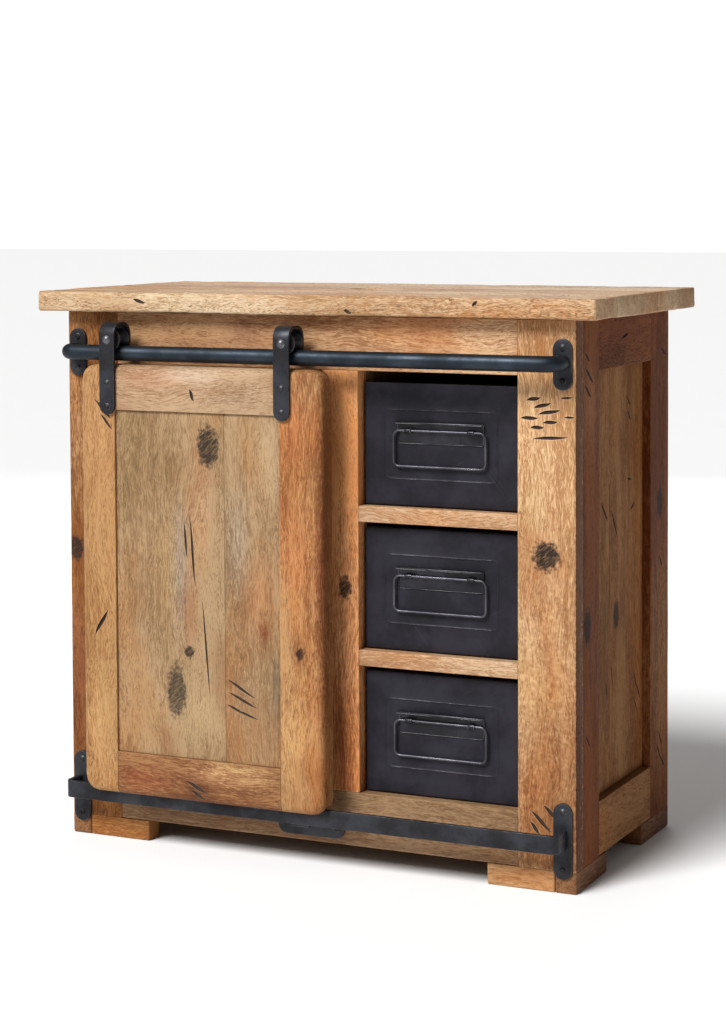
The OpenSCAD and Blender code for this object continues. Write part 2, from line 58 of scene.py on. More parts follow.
camera = {"place": (1.200, -2.537, 0.754), "turn": 25.283, "dip": 2.865, "roll": -0.272,
          "lens": 82.78, "sensor": 36, "shiftY": -0.1908, "reach": 100}


def makeCamera():
    data = bpy.data.cameras.new("studioCamera")
    data.lens = camera["lens"]
    data.sensor_width = camera["sensor"]
    data.shift_y = camera["shiftY"]
    data.clip_end = camera["reach"]
    eye = bpy.data.objects.new("studioCamera", data)
    turn = Matrix.Rotation(math.radians(camera["turn"]), 4, "Z")
    dip = Matrix.Rotation(math.radians(90 - camera["dip"]), 4, "X")
    roll = Matrix.Rotation(math.radians(camera["roll"]), 4, "Z")
    eye.matrix_world = Matrix.Translation(camera["place"]) @ turn @ dip @ roll
    scene.collection.objects.link(eye)
    scene.camera = eye


light = {"sunFrom": (-0.34, -1.0, 1.05), "sunStrength": 4.15, "sunAngle": 24,
         "areas": {"softBox": ((-1.7, -2.6, 1.9), (1.4, 1.8), 14),  # place, size, power
                   "softBack": ((-0.9, 2.9, 1.7), (2.0, 2.0), 22)},
         "aim": (0, 0, 0.35),
         "worldColour": (1.0, 0.985, 0.97), "worldStrength": 0.15, "worldSeen": 1.04}


def makeLights():
    sun = bpy.data.lights.new("softSun", "SUN")
    sun.energy = light["sunStrength"]
    sun.angle = math.radians(light["sunAngle"])
    placeLight(sun, (0, 0, 0), Vector(light["sunFrom"]))
    for name, (spot, size, power) in light["areas"].items():
        area = bpy.data.lights.new(name, "AREA")
        area.shape = "RECTANGLE"
        area.size, area.size_y = size
        area.energy = power
        placeLight(area, spot, Vector(spot) - Vector(light["aim"]))
    world = bpy.data.worlds.new("studio")
    world.use_nodes = True
    tree = world.node_tree
    tree.nodes.clear()
    path = put(tree, "ShaderNodeLightPath")
    level = put(tree, "ShaderNodeMapRange", {"Value": path.outputs["Is Camera Ray"],
                "To Min": light["worldStrength"], "To Max": light["worldSeen"]})
    glow = put(tree, "ShaderNodeBackground", {"Color": (*light["worldColour"], 1),
               "Strength": level.outputs[0]})
    put(tree, "ShaderNodeOutputWorld", {"Surface": glow.outputs[0]})
    scene.world = world
    scene.view_settings.view_transform = "Standard"


def placeLight(data, spot, backwards):
    lamp = bpy.data.objects.new(data.name, data)
    lamp.location = spot
    lamp.rotation_euler = backwards.to_track_quat("Z", "Y").to_euler()
    scene.collection.objects.link(lamp)


def feed(tree, node, inputs):
    # Links the sockets and sets the plain values
    for key, value in inputs.items():
        if isinstance(value, bpy.types.NodeSocket):
            tree.links.new(value, node.inputs[key])
        else:
            node.inputs[key].default_value = value


def put(tree, kind, inputs=None, **settings):
    node = tree.nodes.new(kind)
    for key, value in settings.items():
        setattr(node, key, value)
    feed(tree, node, inputs or {})
    return node


def sums(tree, operation, first, second=None):
    inputs = {0: first} if second is None else {0: first, 1: second}
    return put(tree, "ShaderNodeMath", inputs, operation=operation).outputs[0]


def scaled(tree, value, share):
    return sums(tree, "MULTIPLY", value, share)


def centred(tree, value):
    return sums(tree, "SUBTRACT", value, 0.5)


def vectors(tree, operation, first, second):
    return put(tree, "ShaderNodeVectorMath", {0: first, 1: second}, operation=operation).outputs[0]


def blendColour(tree, factor, first, second, mode="MIX"):
    inputs = {0: factor}
    for index, colour in ((6, first), (7, second)):
        inputs[index] = (*colour, 1) if isinstance(colour, tuple) else colour
    return put(tree, "ShaderNodeMix", inputs, data_type="RGBA", blend_type=mode).outputs[2]


def ramp(tree, value, low, high, toLow=0.0, toHigh=1.0):
    node = put(tree, "ShaderNodeMapRange", {"Value": value, "From Min": low, "From Max": high,
               "To Min": toLow, "To Max": toHigh}, interpolation_type="SMOOTHSTEP")
    return node.outputs[0]


def plainNoise(tree, vector, scale, detail=2.0, roughness=0.5):
    node = put(tree, "ShaderNodeTexNoise", {"Vector": vector, "Scale": scale, "Detail": detail,
               "Roughness": roughness})
    return node.outputs["Fac"]


def stretchedNoise(tree, vector, scale, detail=2.0, roughness=0.5):
    return plainNoise(tree, vectors(tree, "MULTIPLY", vector, scale), 1.0, detail, roughness)


def turnedAboutY(tree, vector, angle):
    return put(tree, "ShaderNodeVectorRotate", {"Vector": vector, "Angle": angle},
               rotation_type="Y_AXIS").outputs[0]


def newGroup(name, inputs, outputs):
    # A number makes a float input, anything else a vector input; outputs are floats
    tree = bpy.data.node_groups.new(name, "ShaderNodeTree")
    for label, value in inputs.items():
        kind = "NodeSocketFloat" if isinstance(value, float) else "NodeSocketVector"
        socket = tree.interface.new_socket(name=label, in_out="INPUT", socket_type=kind)
        if value is not None:
            socket.default_value = value
    for label in outputs:
        tree.interface.new_socket(name=label, in_out="OUTPUT", socket_type="NodeSocketFloat")
    return tree, tree.nodes.new("NodeGroupInput").outputs, tree.nodes.new("NodeGroupOutput")


def useGroup(tree, group, inputs):
    return put(tree, "ShaderNodeGroup", inputs, node_tree=group).outputs


grainLayers = {  # scale per metre along and across the grain, detail, roughness
    "bend": (6, 11, 3, 0.55), "cloud": (6, 11, 3, 0.5), "tint": (3.2, 9, 3, 0.55),
    "stain": (7, 15, 3, 0.5), "broad": (1.6, 17, 2, 0.5), "lines": (3.5, 85, 3, 0.6),
    "streaks": (7, 260, 3, 0.6), "fine": (60, 620, 3, 0.7), "dashes": (190, 1150, 1, 0.5),
    "specks": (110, 820, 1, 0.5)}
grainShares = {"broad": 0.58, "lines": 0.24, "streaks": 0.18, "rings": 0.018}
grainBend = {"sway": 0.042, "rings": 130.0}  # metres of sway; ring lines per unit of the broad layer


def makeGrainGroup():
    # Grain runs along X of the vector it is given, in metres
    tree, given, out = newGroup("woodGrain", {"Vector": None, "Bands": 1.0},
                                ("Figure", "Fibre", "Pores", "Cloud", "Stain", "Tint"))

    def layer(name, vector):
        along, across, detail, roughness = grainLayers[name]
        return stretchedNoise(tree, vector, (along, across, across), detail, roughness)

    start = given["Vector"]
    swayed = layer("bend", start).node.outputs["Color"]
    shift = vectors(tree, "MULTIPLY", vectors(tree, "SUBTRACT", swayed, (0.5, 0.5, 0.5)),
                    (0.0, grainBend["sway"], grainBend["sway"]))
    bent = vectors(tree, "ADD", start, shift)
    banded = put(tree, "ShaderNodeVectorMath", {0: bent, "Scale": given["Bands"]},
                 operation="SCALE").outputs[0]
    made = {name: layer(name, banded) for name in ("broad", "lines")}
    for name in ("streaks", "fine", "dashes", "specks", "tint", "stain"):
        made[name] = layer(name, bent)
    made["rings"] = sums(tree, "SINE", scaled(tree, made["broad"], grainBend["rings"]))
    figure = 0.0
    for name, share in grainShares.items():
        figure = sums(tree, "ADD", figure, scaled(tree, made[name], share))
    short = scaled(tree, ramp(tree, made["dashes"], 0.53, 0.66), ramp(tree, made["lines"], 0.66, 0.40))
    pores = sums(tree, "MAXIMUM", short, scaled(tree, ramp(tree, made["specks"], 0.57, 0.74), 0.6))
    feed(tree, out, {"Figure": figure, "Fibre": made["fine"], "Pores": pores, "Tint": made["tint"],
                     "Cloud": layer("cloud", start), "Stain": ramp(tree, made["stain"], 0.50, 0.70)})
    return tree


def makeWearAndHighlightGroup():
    # How near a point is to an outer edge, broken up by noise: the mask for edge wear and for painted
    # highlights on edges
    tree, given, out = newGroup("edgeWear", {"Vector": None, "Reach": 0.003, "Break": 60.0}, ("Mask",))
    soft = put(tree, "ShaderNodeBevel", {"Radius": given["Reach"]}, samples=4)
    true = put(tree, "ShaderNodeNewGeometry")
    same = put(tree, "ShaderNodeVectorMath", {0: soft.outputs[0], 1: true.outputs["Normal"]},
               operation="DOT_PRODUCT")
    near = ramp(tree, same.outputs["Value"], 0.995, 0.86)
    patchy = ramp(tree, plainNoise(tree, given["Vector"], given["Break"], 3.0), 0.38, 0.62)
    feed(tree, out, {"Mask": scaled(tree, near, patchy)})
    return tree


def makeSpotGroup():
    # A ragged round or long spot about a centre, hatched where it isn't solid
    tree, given, out = newGroup("ragSpot", {
        "Vector": None, "Centre": None, "Stretch": (100.0, 100.0, 100.0), "Ragged": 0.5,
        "Solid": 0.8, "Core": 0.5}, ("Mask",))
    away = vectors(tree, "MULTIPLY", vectors(tree, "SUBTRACT", given["Vector"], given["Centre"]),
                   given["Stretch"])
    length = put(tree, "ShaderNodeVectorMath", {0: away}, operation="LENGTH").outputs["Value"]
    rough = centred(tree, plainNoise(tree, given["Vector"], 240.0, 4.0))
    torn = scaled(tree, scaled(tree, rough, 2.0), given["Ragged"])
    turned = turnedAboutY(tree, given["Vector"], 0.7)
    hatch = ramp(tree, stretchedNoise(tree, turned, (120.0, 800.0, 950.0), 1.0), 0.58, 0.44)
    body = sums(tree, "MINIMUM", sums(tree, "ADD", given["Solid"], hatch), 1.0)
    fade = ramp(tree, sums(tree, "ADD", length, torn), 1.0, given["Core"])
    feed(tree, out, {"Mask": scaled(tree, fade, body)})
    return tree


def makeScuffGroup():
    # Rubs and hairline scratches on painted or blackened metal
    tree, given, out = newGroup("metalScuffs", {"Vector": None}, ("Clouds", "Scratches", "Pits"))
    start = given["Vector"]
    hairs = []
    for turn, scale in ((0.5, (9.0, 500.0, 500.0)), (-0.9, (12.0, 650.0, 650.0))):
        hair = stretchedNoise(tree, turnedAboutY(tree, start, turn), scale, 0.0)
        hairs.append(ramp(tree, hair, 0.74, 0.80))
    some = ramp(tree, plainNoise(tree, start, 34.0), 0.48, 0.62)
    scratches = scaled(tree, sums(tree, "MAXIMUM", *hairs), some)
    feed(tree, out, {"Clouds": plainNoise(tree, start, 22.0, 4.0, 0.62), "Scratches": scratches,
                     "Pits": plainNoise(tree, start, 420.0)})
    return tree


grainGroup = makeGrainGroup()
wearAndHighlightGroup = makeWearAndHighlightGroup()
spotGroup = makeSpotGroup()
scuffGroup = makeScuffGroup()


def newMaterial(name):
    material = bpy.data.materials.new(name)
    material.use_nodes = True
    tree = material.node_tree
    where = put(tree, "ShaderNodeTexCoord").outputs["Object"]
    return material, tree, tree.nodes["Principled BSDF"], where


smudge = (0.016, 0.012, 0.010)  # burnt-in black
knotRed = (0.13, 0.040, 0.015)
woodTones = {  # dark, middle and light
    "slab": ((0.367, 0.194, 0.087), (0.490, 0.308, 0.174), (0.578, 0.396, 0.243)),
    "slabPale": ((0.403, 0.229, 0.113), (0.525, 0.343, 0.200), (0.612, 0.440, 0.278)),
    "honey": ((0.286, 0.123, 0.052), (0.420, 0.221, 0.104), (0.538, 0.312, 0.160)),
    "honeyLight": ((0.374, 0.187, 0.080), (0.543, 0.325, 0.166), (0.674, 0.444, 0.242)),
    # middle is lighter partly as painted light that lifts the door's cast shadow off the middle stile
    "middle": ((0.351, 0.134, 0.050), (0.542, 0.234, 0.092), (0.703, 0.339, 0.145)),
    "russet": ((0.145, 0.049, 0.012), (0.232, 0.091, 0.023), (0.305, 0.130, 0.039)),
    "doorTan": ((0.239, 0.106, 0.036), (0.340, 0.171, 0.065), (0.403, 0.224, 0.094)),
    "doorOrange": ((0.219, 0.091, 0.032), (0.337, 0.163, 0.066), (0.417, 0.228, 0.098)),
    "doorPale": ((0.273, 0.155, 0.079), (0.370, 0.229, 0.131), (0.442, 0.291, 0.177)),
    "doorRed": ((0.161, 0.058, 0.023), (0.241, 0.106, 0.043), (0.308, 0.154, 0.064)),
    "panelOlive": ((0.212, 0.123, 0.059), (0.294, 0.178, 0.090), (0.355, 0.233, 0.125)),
    "drawerRail": ((0.350, 0.187, 0.092), (0.467, 0.288, 0.163), (0.540, 0.367, 0.227)),
    "low": ((0.185, 0.095, 0.046), (0.264, 0.151, 0.078), (0.330, 0.202, 0.110)),
    # side and sidePanel, the side boards' tones, are darker partly for their own colour and partly as painted
    # shade of the sides turned from the light
    "side": ((0.100, 0.026, 0.007), (0.163, 0.047, 0.014), (0.206, 0.066, 0.020)),
    "sidePanel": ((0.167, 0.067, 0.020), (0.260, 0.113, 0.041), (0.321, 0.155, 0.060)),
    "footPale": ((0.300, 0.150, 0.060), (0.420, 0.240, 0.110), (0.500, 0.310, 0.160)),
    "foot": ((0.248, 0.107, 0.032), (0.374, 0.186, 0.062), (0.451, 0.249, 0.092)),
    "inside": ((0.225, 0.115, 0.054), (0.330, 0.187, 0.095), (0.405, 0.252, 0.136)),
    # footRed, for the feet's side boards, is darker partly as painted shade of the sides turned from the
    # light
    "footRed": ((0.110, 0.040, 0.016), (0.190, 0.078, 0.032), (0.260, 0.125, 0.055)),
}
woodLook = {"stops": (0.385, 0.50, 0.62), "drift": 0.45, "rough": 0.48, "poreRough": 0.25,
            "cloudRough": 0.12, "bump": 0.45, "bumpDepth": 0.0006, "wear": (0.0025, 45.0),
            "wearLight": 0.5, "poreDark": 0.45, "slabPoreDark": 0.85, "stain": 0.55, "tint": 0.75,
            "warm": (1.02, 0.80, 0.60), "cool": (0.86, 0.87, 0.81), "specular": 0.14,
            "sideSpecular": 0.05, "spotSolid": (1.0, 0.72), "spotRagged": (0.45, 0.5),
            "turn": {"x": (0, 0, 0), "y": (0, 0, -math.pi / 2), "z": (0, math.pi / 2, 0)}}


def makeWood(name, tone, grain, seed, bands=1.0, spots=()):
    # spots: (centre in frame metres, radii in mm, colour, strength, core); patches keep the grain
    material, tree, shader, where = newMaterial(name)
    along = put(tree, "ShaderNodeMapping", {
        "Vector": where, "Location": (seed * 0.731, seed * 0.417 + 0.2, seed * 0.293),
        "Rotation": woodLook["turn"][grain]}).outputs[0]
    wood = useGroup(tree, grainGroup, {"Vector": along, "Bands": bands})
    dark, middle, pale = woodTones[tone]
    level = sums(tree, "ADD", wood["Figure"], scaled(tree, centred(tree, wood["Cloud"]), woodLook["drift"]))
    level = sums(tree, "ADD", level, centred(tree, wood["Fibre"]))
    colours = put(tree, "ShaderNodeValToRGB", {"Fac": level})
    stops = colours.color_ramp.elements
    stops.new(woodLook["stops"][1])
    for stop, position, part in zip(stops, woodLook["stops"], (dark, middle, pale)):
        stop.position = position
        stop.color = (*part, 1)
    stainColour = (dark[0], dark[1] * 0.80, dark[2] * 0.68)
    colour = blendColour(tree, scaled(tree, wood["Stain"], woodLook["stain"]), colours.outputs[0],
                         stainColour)
    for cast, limit in (("warm", 0.66), ("cool", 0.36)):
        share = scaled(tree, ramp(tree, wood["Tint"], 0.50, limit), woodLook["tint"])
        colour = blendColour(tree, share, colour, woodLook[cast], "MULTIPLY")
    poreDark = woodLook["slabPoreDark" if tone.startswith("slab") else "poreDark"]
    colour = blendColour(tree, scaled(tree, wood["Pores"], poreDark), colour,
                         tuple(part * 0.38 for part in dark))
    for spotCentre, radii, spotColour, strength, core in spots:
        burnt = spotColour is smudge
        mask = useGroup(tree, spotGroup, {
            "Vector": where, "Centre": spotCentre, "Stretch": tuple(1 / (radius * mm) for radius in radii),
            "Solid": woodLook["spotSolid"][burnt], "Core": core, "Ragged": woodLook["spotRagged"][burnt]})
        share = scaled(tree, mask[0], strength)
        if burnt:
            colour = blendColour(tree, share, colour, spotColour)
        else:
            shift = tuple(new / old for new, old in zip(spotColour, middle))
            colour = blendColour(tree, share, colour, shift, "MULTIPLY")
    # Edges turn lighter: partly worn edges, partly a painted highlight along the arrises that catch the light
    reach, broken = woodLook["wear"]
    wear = useGroup(tree, wearAndHighlightGroup, {"Vector": where, "Reach": reach, "Break": broken})[0]
    colour = blendColour(tree, scaled(tree, wear, woodLook["wearLight"]), colour,
                         tuple(min(1, part * 1.25 + 0.04) for part in pale))
    rough = sums(tree, "ADD", woodLook["rough"], scaled(tree, wood["Pores"], woodLook["poreRough"]))
    rough = sums(tree, "ADD", rough, scaled(tree, wood["Cloud"], woodLook["cloudRough"]))
    height = sums(tree, "SUBTRACT", scaled(tree, wood["Fibre"], 0.5), wood["Pores"])
    bump = put(tree, "ShaderNodeBump", {"Height": height, "Strength": woodLook["bump"],
               "Distance": woodLook["bumpDepth"]})
    dull = tone in ("side", "sidePanel")
    feed(tree, shader, {"Base Color": colour, "Roughness": rough, "Normal": bump.outputs[0],
                        "Specular IOR Level": woodLook["sideSpecular" if dull else "specular"]})
    return material


def makeCutWood():
    # The raw dark inside of a knife cut or crack
    material, tree, shader, where = newMaterial("cutWood")
    rough = plainNoise(tree, where, 600.0)
    bump = put(tree, "ShaderNodeBump", {"Height": rough, "Strength": 0.5, "Distance": 0.0003})
    feed(tree, shader, {
        "Base Color": blendColour(tree, rough, (0.014, 0.008, 0.006), (0.050, 0.024, 0.013)),
        "Roughness": ramp(tree, rough, 0.0, 1.0, 0.75, 0.95), "Normal": bump.outputs[0]})
    return material


metalFinishes = {  # base, second tone, rubbed colour (bright on the pull metals, partly a painted highlight), metal share, roughness low and high, scratches, slot
    "blackIron": ((0.012, 0.012, 0.015), (0.034, 0.036, 0.044), (0.20, 0.20, 0.21), 0.60, 0.38, 0.62, 0.0,
                  "black_iron"),
    "railIron": ((0.014, 0.0195, 0.027), (0.030, 0.041, 0.056), (0.22, 0.235, 0.255), 0.75, 0.38, 0.56, 0.0,
                 "black_iron"),
    "screwIron": ((0.012, 0.012, 0.014), (0.05, 0.05, 0.055), (0.12, 0.118, 0.115), 0.80, 0.42, 0.60, 0.0,
                  "black_iron"),
    "brightSteel": ((0.10, 0.10, 0.105), (0.22, 0.22, 0.23), (0.55, 0.55, 0.57), 0.85, 0.30, 0.46, 0.3,
                    "bright_steel"),
    "sheetSteel": ((0.009, 0.008, 0.0125), (0.019, 0.017, 0.025), (0.10, 0.095, 0.11), 0.10, 0.46, 0.64,
                   0.10, "black_sheet_steel"),
    "traySteel": ((0.012, 0.011, 0.014), (0.022, 0.021, 0.026), (0.10, 0.10, 0.11), 0.15, 0.48, 0.66, 0.15,
                  "black_sheet_steel"),
    # ringSteel's lighter base and the pull finishes' bright rubbed colour are partly painted highlights on
    # the ring and the plate's lip
    "ringSteel": ((0.045, 0.043, 0.052), (0.105, 0.100, 0.118), (0.50, 0.49, 0.52), 0.70, 0.24, 0.38, 0.0,
                  "black_pull_steel"),
    "pullSteel": ((0.011, 0.010, 0.014), (0.028, 0.026, 0.033), (0.52, 0.51, 0.53), 0.60, 0.22, 0.38, 0.0,
                  "black_pull_steel"),
}
# pullBreak keeps the bright rubbed edges of the pulls less broken, partly as a painted highlight
metalWearAndHighlight = {"reach": 0.0011, "break": 130.0, "pullBreak": 26.0, "cover": 0.8, "polish": 0.10,
             "specular": 0.5, "sheetSpecular": 0.22}


def makeMetal(name):
    base, second, rubbedAndHighlight, metal, roughLow, roughHigh, scratched, slotName = metalFinishes[name]
    material, tree, shader, where = newMaterial(name)
    marks = useGroup(tree, scuffGroup, {"Vector": where})
    colour = blendColour(tree, ramp(tree, marks["Clouds"], 0.36, 0.66), base, second)
    broken = metalWearAndHighlight["pullBreak" if slotName == "black_pull_steel" else "break"]
    wear = useGroup(tree, wearAndHighlightGroup, {"Vector": where, "Reach": metalWearAndHighlight["reach"], "Break": broken})[0]
    # Rubbed colour on scratches and edges: worn metal, and on the pulls partly a painted highlight
    rubsAndHighlights = sums(tree, "MAXIMUM", scaled(tree, marks["Scratches"], scratched), wear)
    colour = blendColour(tree, scaled(tree, rubsAndHighlights, metalWearAndHighlight["cover"]), colour, rubbedAndHighlight)
    rough = ramp(tree, marks["Clouds"], 0.3, 0.7, roughHigh, roughLow)
    rough = sums(tree, "SUBTRACT", rough, scaled(tree, wear, metalWearAndHighlight["polish"]))
    height = sums(tree, "ADD", scaled(tree, marks["Pits"], 0.35), marks["Clouds"])
    bump = put(tree, "ShaderNodeBump", {"Height": height, "Strength": 0.30, "Distance": 0.0006})
    specular = metalWearAndHighlight["sheetSpecular" if name == "sheetSteel" else "specular"]
    feed(tree, shader, {"Base Color": colour, "Roughness": rough, "Normal": bump.outputs[0],
                        "Metallic": sums(tree, "MAXIMUM", metal, wear), "Specular IOR Level": specular})
    return material


cutWood = makeCutWood()
metals = {name: makeMetal(name) for name in metalFinishes}
print("materials made")

sharpAngle = math.radians(35)


def smoothen(mesh):
    mesh.shade_smooth()
    mesh.set_sharp_from_angle(angle=sharpAngle)


def linkMesh(name, points, faces, smooth=True):
    mesh = bpy.data.meshes.new(name)
    mesh.from_pydata([tuple(point) for point in points], [], faces)
    mesh.validate()
    if smooth:
        smoothen(mesh)
    piece = bpy.data.objects.new(name, mesh)
    scene.collection.objects.link(piece)
    return piece


def joinShapes(name, shapes, smooth=True):
    # One mesh of several closed shapes, all facing outwards
    points, faces = [], []
    for morePoints, moreFaces in shapes:
        start = len(points)
        points += morePoints
        faces += [tuple(start + corner for corner in face) for face in moreFaces]
    piece = linkMesh(name, points, faces, smooth=False)
    shell = bmesh.new()
    shell.from_mesh(piece.data)
    bmesh.ops.recalc_face_normals(shell, faces=shell.faces)
    shell.to_mesh(piece.data)
    shell.free()
    if smooth:
        smoothen(piece.data)
    return piece


def settle(piece):
    # Applies the modifiers for good
    bpy.context.view_layer.update()
    graph = bpy.context.evaluated_depsgraph_get()
    fresh = bpy.data.meshes.new_from_object(piece.evaluated_get(graph))
    fresh.name = piece.name
    piece.modifiers.clear()
    piece.data = fresh
    fresh.set_sharp_from_angle(angle=sharpAngle)


def finishPiece(piece, body, slotName, material, node):
    if not piece.data.materials:
        piece.data.materials.append(material)
    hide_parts(node)
    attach(piece, body)


def finishMetal(piece, body, metal, node):
    finishPiece(piece, body, metalFinishes[metal][-1], metals[metal], node)


arcShare = 1 - math.tan(math.pi / 8)  # where a rounded edge gets its middle line


def gridLines(low, high, step, lowRounds, highRounds):
    # Sorted positions along one axis: fine near each rounded end, even between
    lines = {low, high}
    for radius in lowRounds:
        lines.update((low + radius, low + radius * arcShare))
    for radius in highRounds:
        lines.update((high - radius, high - radius * arcShare))
    start, end = low + max(lowRounds), high - max(highRounds)
    count = max(1, round((end - start) / step))
    for index in range(1, count):
        lines.add(start + (end - start) * index / count)
    kept = []
    for value in sorted(lines):
        if not kept or value - kept[-1] > samePlace:
            kept.append(value)
    return kept


def latticeMesh(name, lines, shape, leftOut=None):
    # The faces of a box as one grid, each point moved by shape; leftOut is an (axis, side) left open
    counts = [len(axis) - 1 for axis in lines]
    index, points, faces = {}, [], []

    def corner(spot):
        key = tuple(spot)
        if key not in index:
            index[key] = len(points)
            points.append(shape(Vector([lines[axis][key[axis]] for axis in range(3)])))
        return index[key]

    for axis in range(3):
        across, up = (axis + 1) % 3, (axis + 2) % 3
        for side, end in enumerate((0, counts[axis])):
            if (axis, side) == leftOut:
                continue
            for a in range(counts[across]):
                for b in range(counts[up]):
                    quad = []
                    for stepA, stepB in ((0, 0), (1, 0), (1, 1), (0, 1)):
                        spot = [0, 0, 0]
                        spot[axis], spot[across], spot[up] = end, a + stepA, b + stepB
                        quad.append(corner(spot))
                    faces.append(quad if side else quad[::-1])
    return linkMesh(name, points, faces)


def roundEdge(first, second, radius):
    # Depths behind two faces, moved so that the edge between them is an arc
    if first >= radius or second >= radius:
        return first, second
    a, b = 1 - first / radius, 1 - second / radius
    length = math.hypot(a, b)
    if length == 0:
        return first, second
    share = max(a, b) / length
    return radius * (1 - a * share), radius * (1 - b * share)


def softNoise(spot):
    # Noise from 0 to 1
    return 0.5 + 0.5 * noise.noise(spot)


unevenness = {"margin": 0.002, "hidden": 0.00012, "soft": 16, "dents": 70, "dentFrom": 0.30,
              "dentShare": 1.6}


def boardShape(low, high, openSides, smallRound, bigRound, wobble, seed):
    # Rounds the twelve edges and adds slight hand-worked unevenness, always inwards
    sides = (0, 1)

    def shape(point):
        depth = {}
        for axis in range(3):
            depth[axis, 0] = point[axis] - low[axis]
            depth[axis, 1] = high[axis] - point[axis]
        for axisA, axisB in ((0, 1), (0, 2), (1, 2)):
            for sideA, sideB in ((sideA, sideB) for sideA in sides for sideB in sides):
                big = (axisA, sideA) in openSides and (axisB, sideB) in openSides
                a, b = roundEdge(depth[axisA, sideA], depth[axisB, sideB], bigRound if big else smallRound)
                depth[axisA, 1 - sideA] += depth[axisA, sideA] - a
                depth[axisB, 1 - sideB] += depth[axisB, sideB] - b
                depth[axisA, sideA], depth[axisB, sideB] = a, b
        result = Vector([low[axis] + depth[axis, 0] for axis in range(3)])
        for axis, side in ((axis, side) for axis in range(3) for side in sides):
            near = max(0.0, 1 - depth[axis, side] / (bigRound + unevenness["margin"]))
            if near == 0:
                continue
            size = wobble if (axis, side) in openSides else unevenness["hidden"]
            shift = Vector((seed * 3.1 + axis * 7, seed * 1.7 + side * 5, seed))
            soft = softNoise(point * unevenness["soft"] + shift)
            dent = noise.noise(point * unevenness["dents"] + Vector((seed, axis * 3, side * 9)))
            dent = max(0.0, dent - unevenness["dentFrom"]) * unevenness["dentShare"]
            push = near * size * (min(1.0, max(0.0, soft)) + dent)
            result[axis] += push if side == 0 else -push
        return result
    return shape


sideNames = {"x-": (0, 0), "x+": (0, 1), "y-": (1, 0), "y+": (1, 1), "z-": (2, 0), "z+": (2, 1)}


def boardPiece(name, low, high, open="", step=0.012, small=0.0009, big=0.0024, wobble=0.0004, seed=1):
    openSides = {sideNames[word] for word in open.split()}
    lines = []
    for axis in range(3):
        ends = [[small, big] if (axis, side) in openSides else [small] for side in (0, 1)]
        lines.append(gridLines(low[axis], high[axis], step, *ends))
    return latticeMesh(name, lines, boardShape(low, high, openSides, small, big, wobble, seed))


spindleRings = ((-0.36, 0.5), (-0.18, 0.9), (0.05, 1.0), (0.25, 0.75), (0.40, 0.35))  # place, swell
spindleBow = 0.14


def spindle(centre, direction, normal, length, width, depth):
    # A slim pointed cutter lying in the surface: points and faces
    side = direction.cross(normal)
    sides = 8
    points = [centre - direction * length / 2]
    for share, swell in spindleRings:
        bow = side * (width * spindleBow * math.sin(share * 5))
        for turn in range(sides):
            angle = 2 * math.pi * turn / sides
            reach = side * math.cos(angle) * width / 2 + normal * math.sin(angle) * depth
            points.append(centre + direction * length * share + bow + reach * swell)
    rings = [range(1 + ring * sides, 1 + (ring + 1) * sides) for ring in range(len(spindleRings))]
    tip = len(points)
    points.append(centre + direction * length / 2)
    faces = []
    for turn in range(sides):
        following = (turn + 1) % sides
        faces.append((0, rings[0][following], rings[0][turn]))
        for first, second in zip(rings, rings[1:]):
            faces.append((first[turn], first[following], second[following], second[turn]))
        faces.append((tip, rings[-1][turn], rings[-1][following]))
    return points, faces


def carve(piece, material, cutters):
    # Cuts closed shapes out of a piece; the new faces take the cut material
    tool = joinShapes("cutter", cutters, smooth=False)
    tool.data.materials.append(material)
    cut = piece.modifiers.new("cut", "BOOLEAN")
    cut.object = tool
    cut.operation = "DIFFERENCE"
    cut.solver = "EXACT"
    cut.use_self = True
    cut.material_mode = "TRANSFER"
    settle(piece)
    bpy.data.objects.remove(tool)


slash = {"width": 4.4, "depthShare": 0.5, "sunk": 0.0003}


def slashes(low, marks, face="front"):
    # Cuts as (across mm, up mm, length mm, degrees, own width mm) from a board's low corner
    across, normal = (right, -back) if face == "front" else (back, right)
    made = []
    for over, up, length, degrees, *own in marks:
        angle = math.radians(degrees)
        wide = own[0] if own else slash["width"]
        centre = low - normal * slash["sunk"] + across * over * mm + upward * up * mm
        direction = across * math.cos(angle) + upward * math.sin(angle)
        made.append(spindle(centre, direction, normal, length * mm, wide * mm,
                            wide * slash["depthShare"] * mm))
    return made


def boxPoints(low, high):
    points = [Vector((x, y, z)) for z in (low[2], high[2]) for y in (low[1], high[1])
              for x in (low[0], high[0])]
    faces = [(0, 2, 3, 1), (4, 5, 7, 6), (0, 1, 5, 4), (2, 6, 7, 3), (0, 4, 6, 2), (1, 3, 7, 5)]
    return points, faces


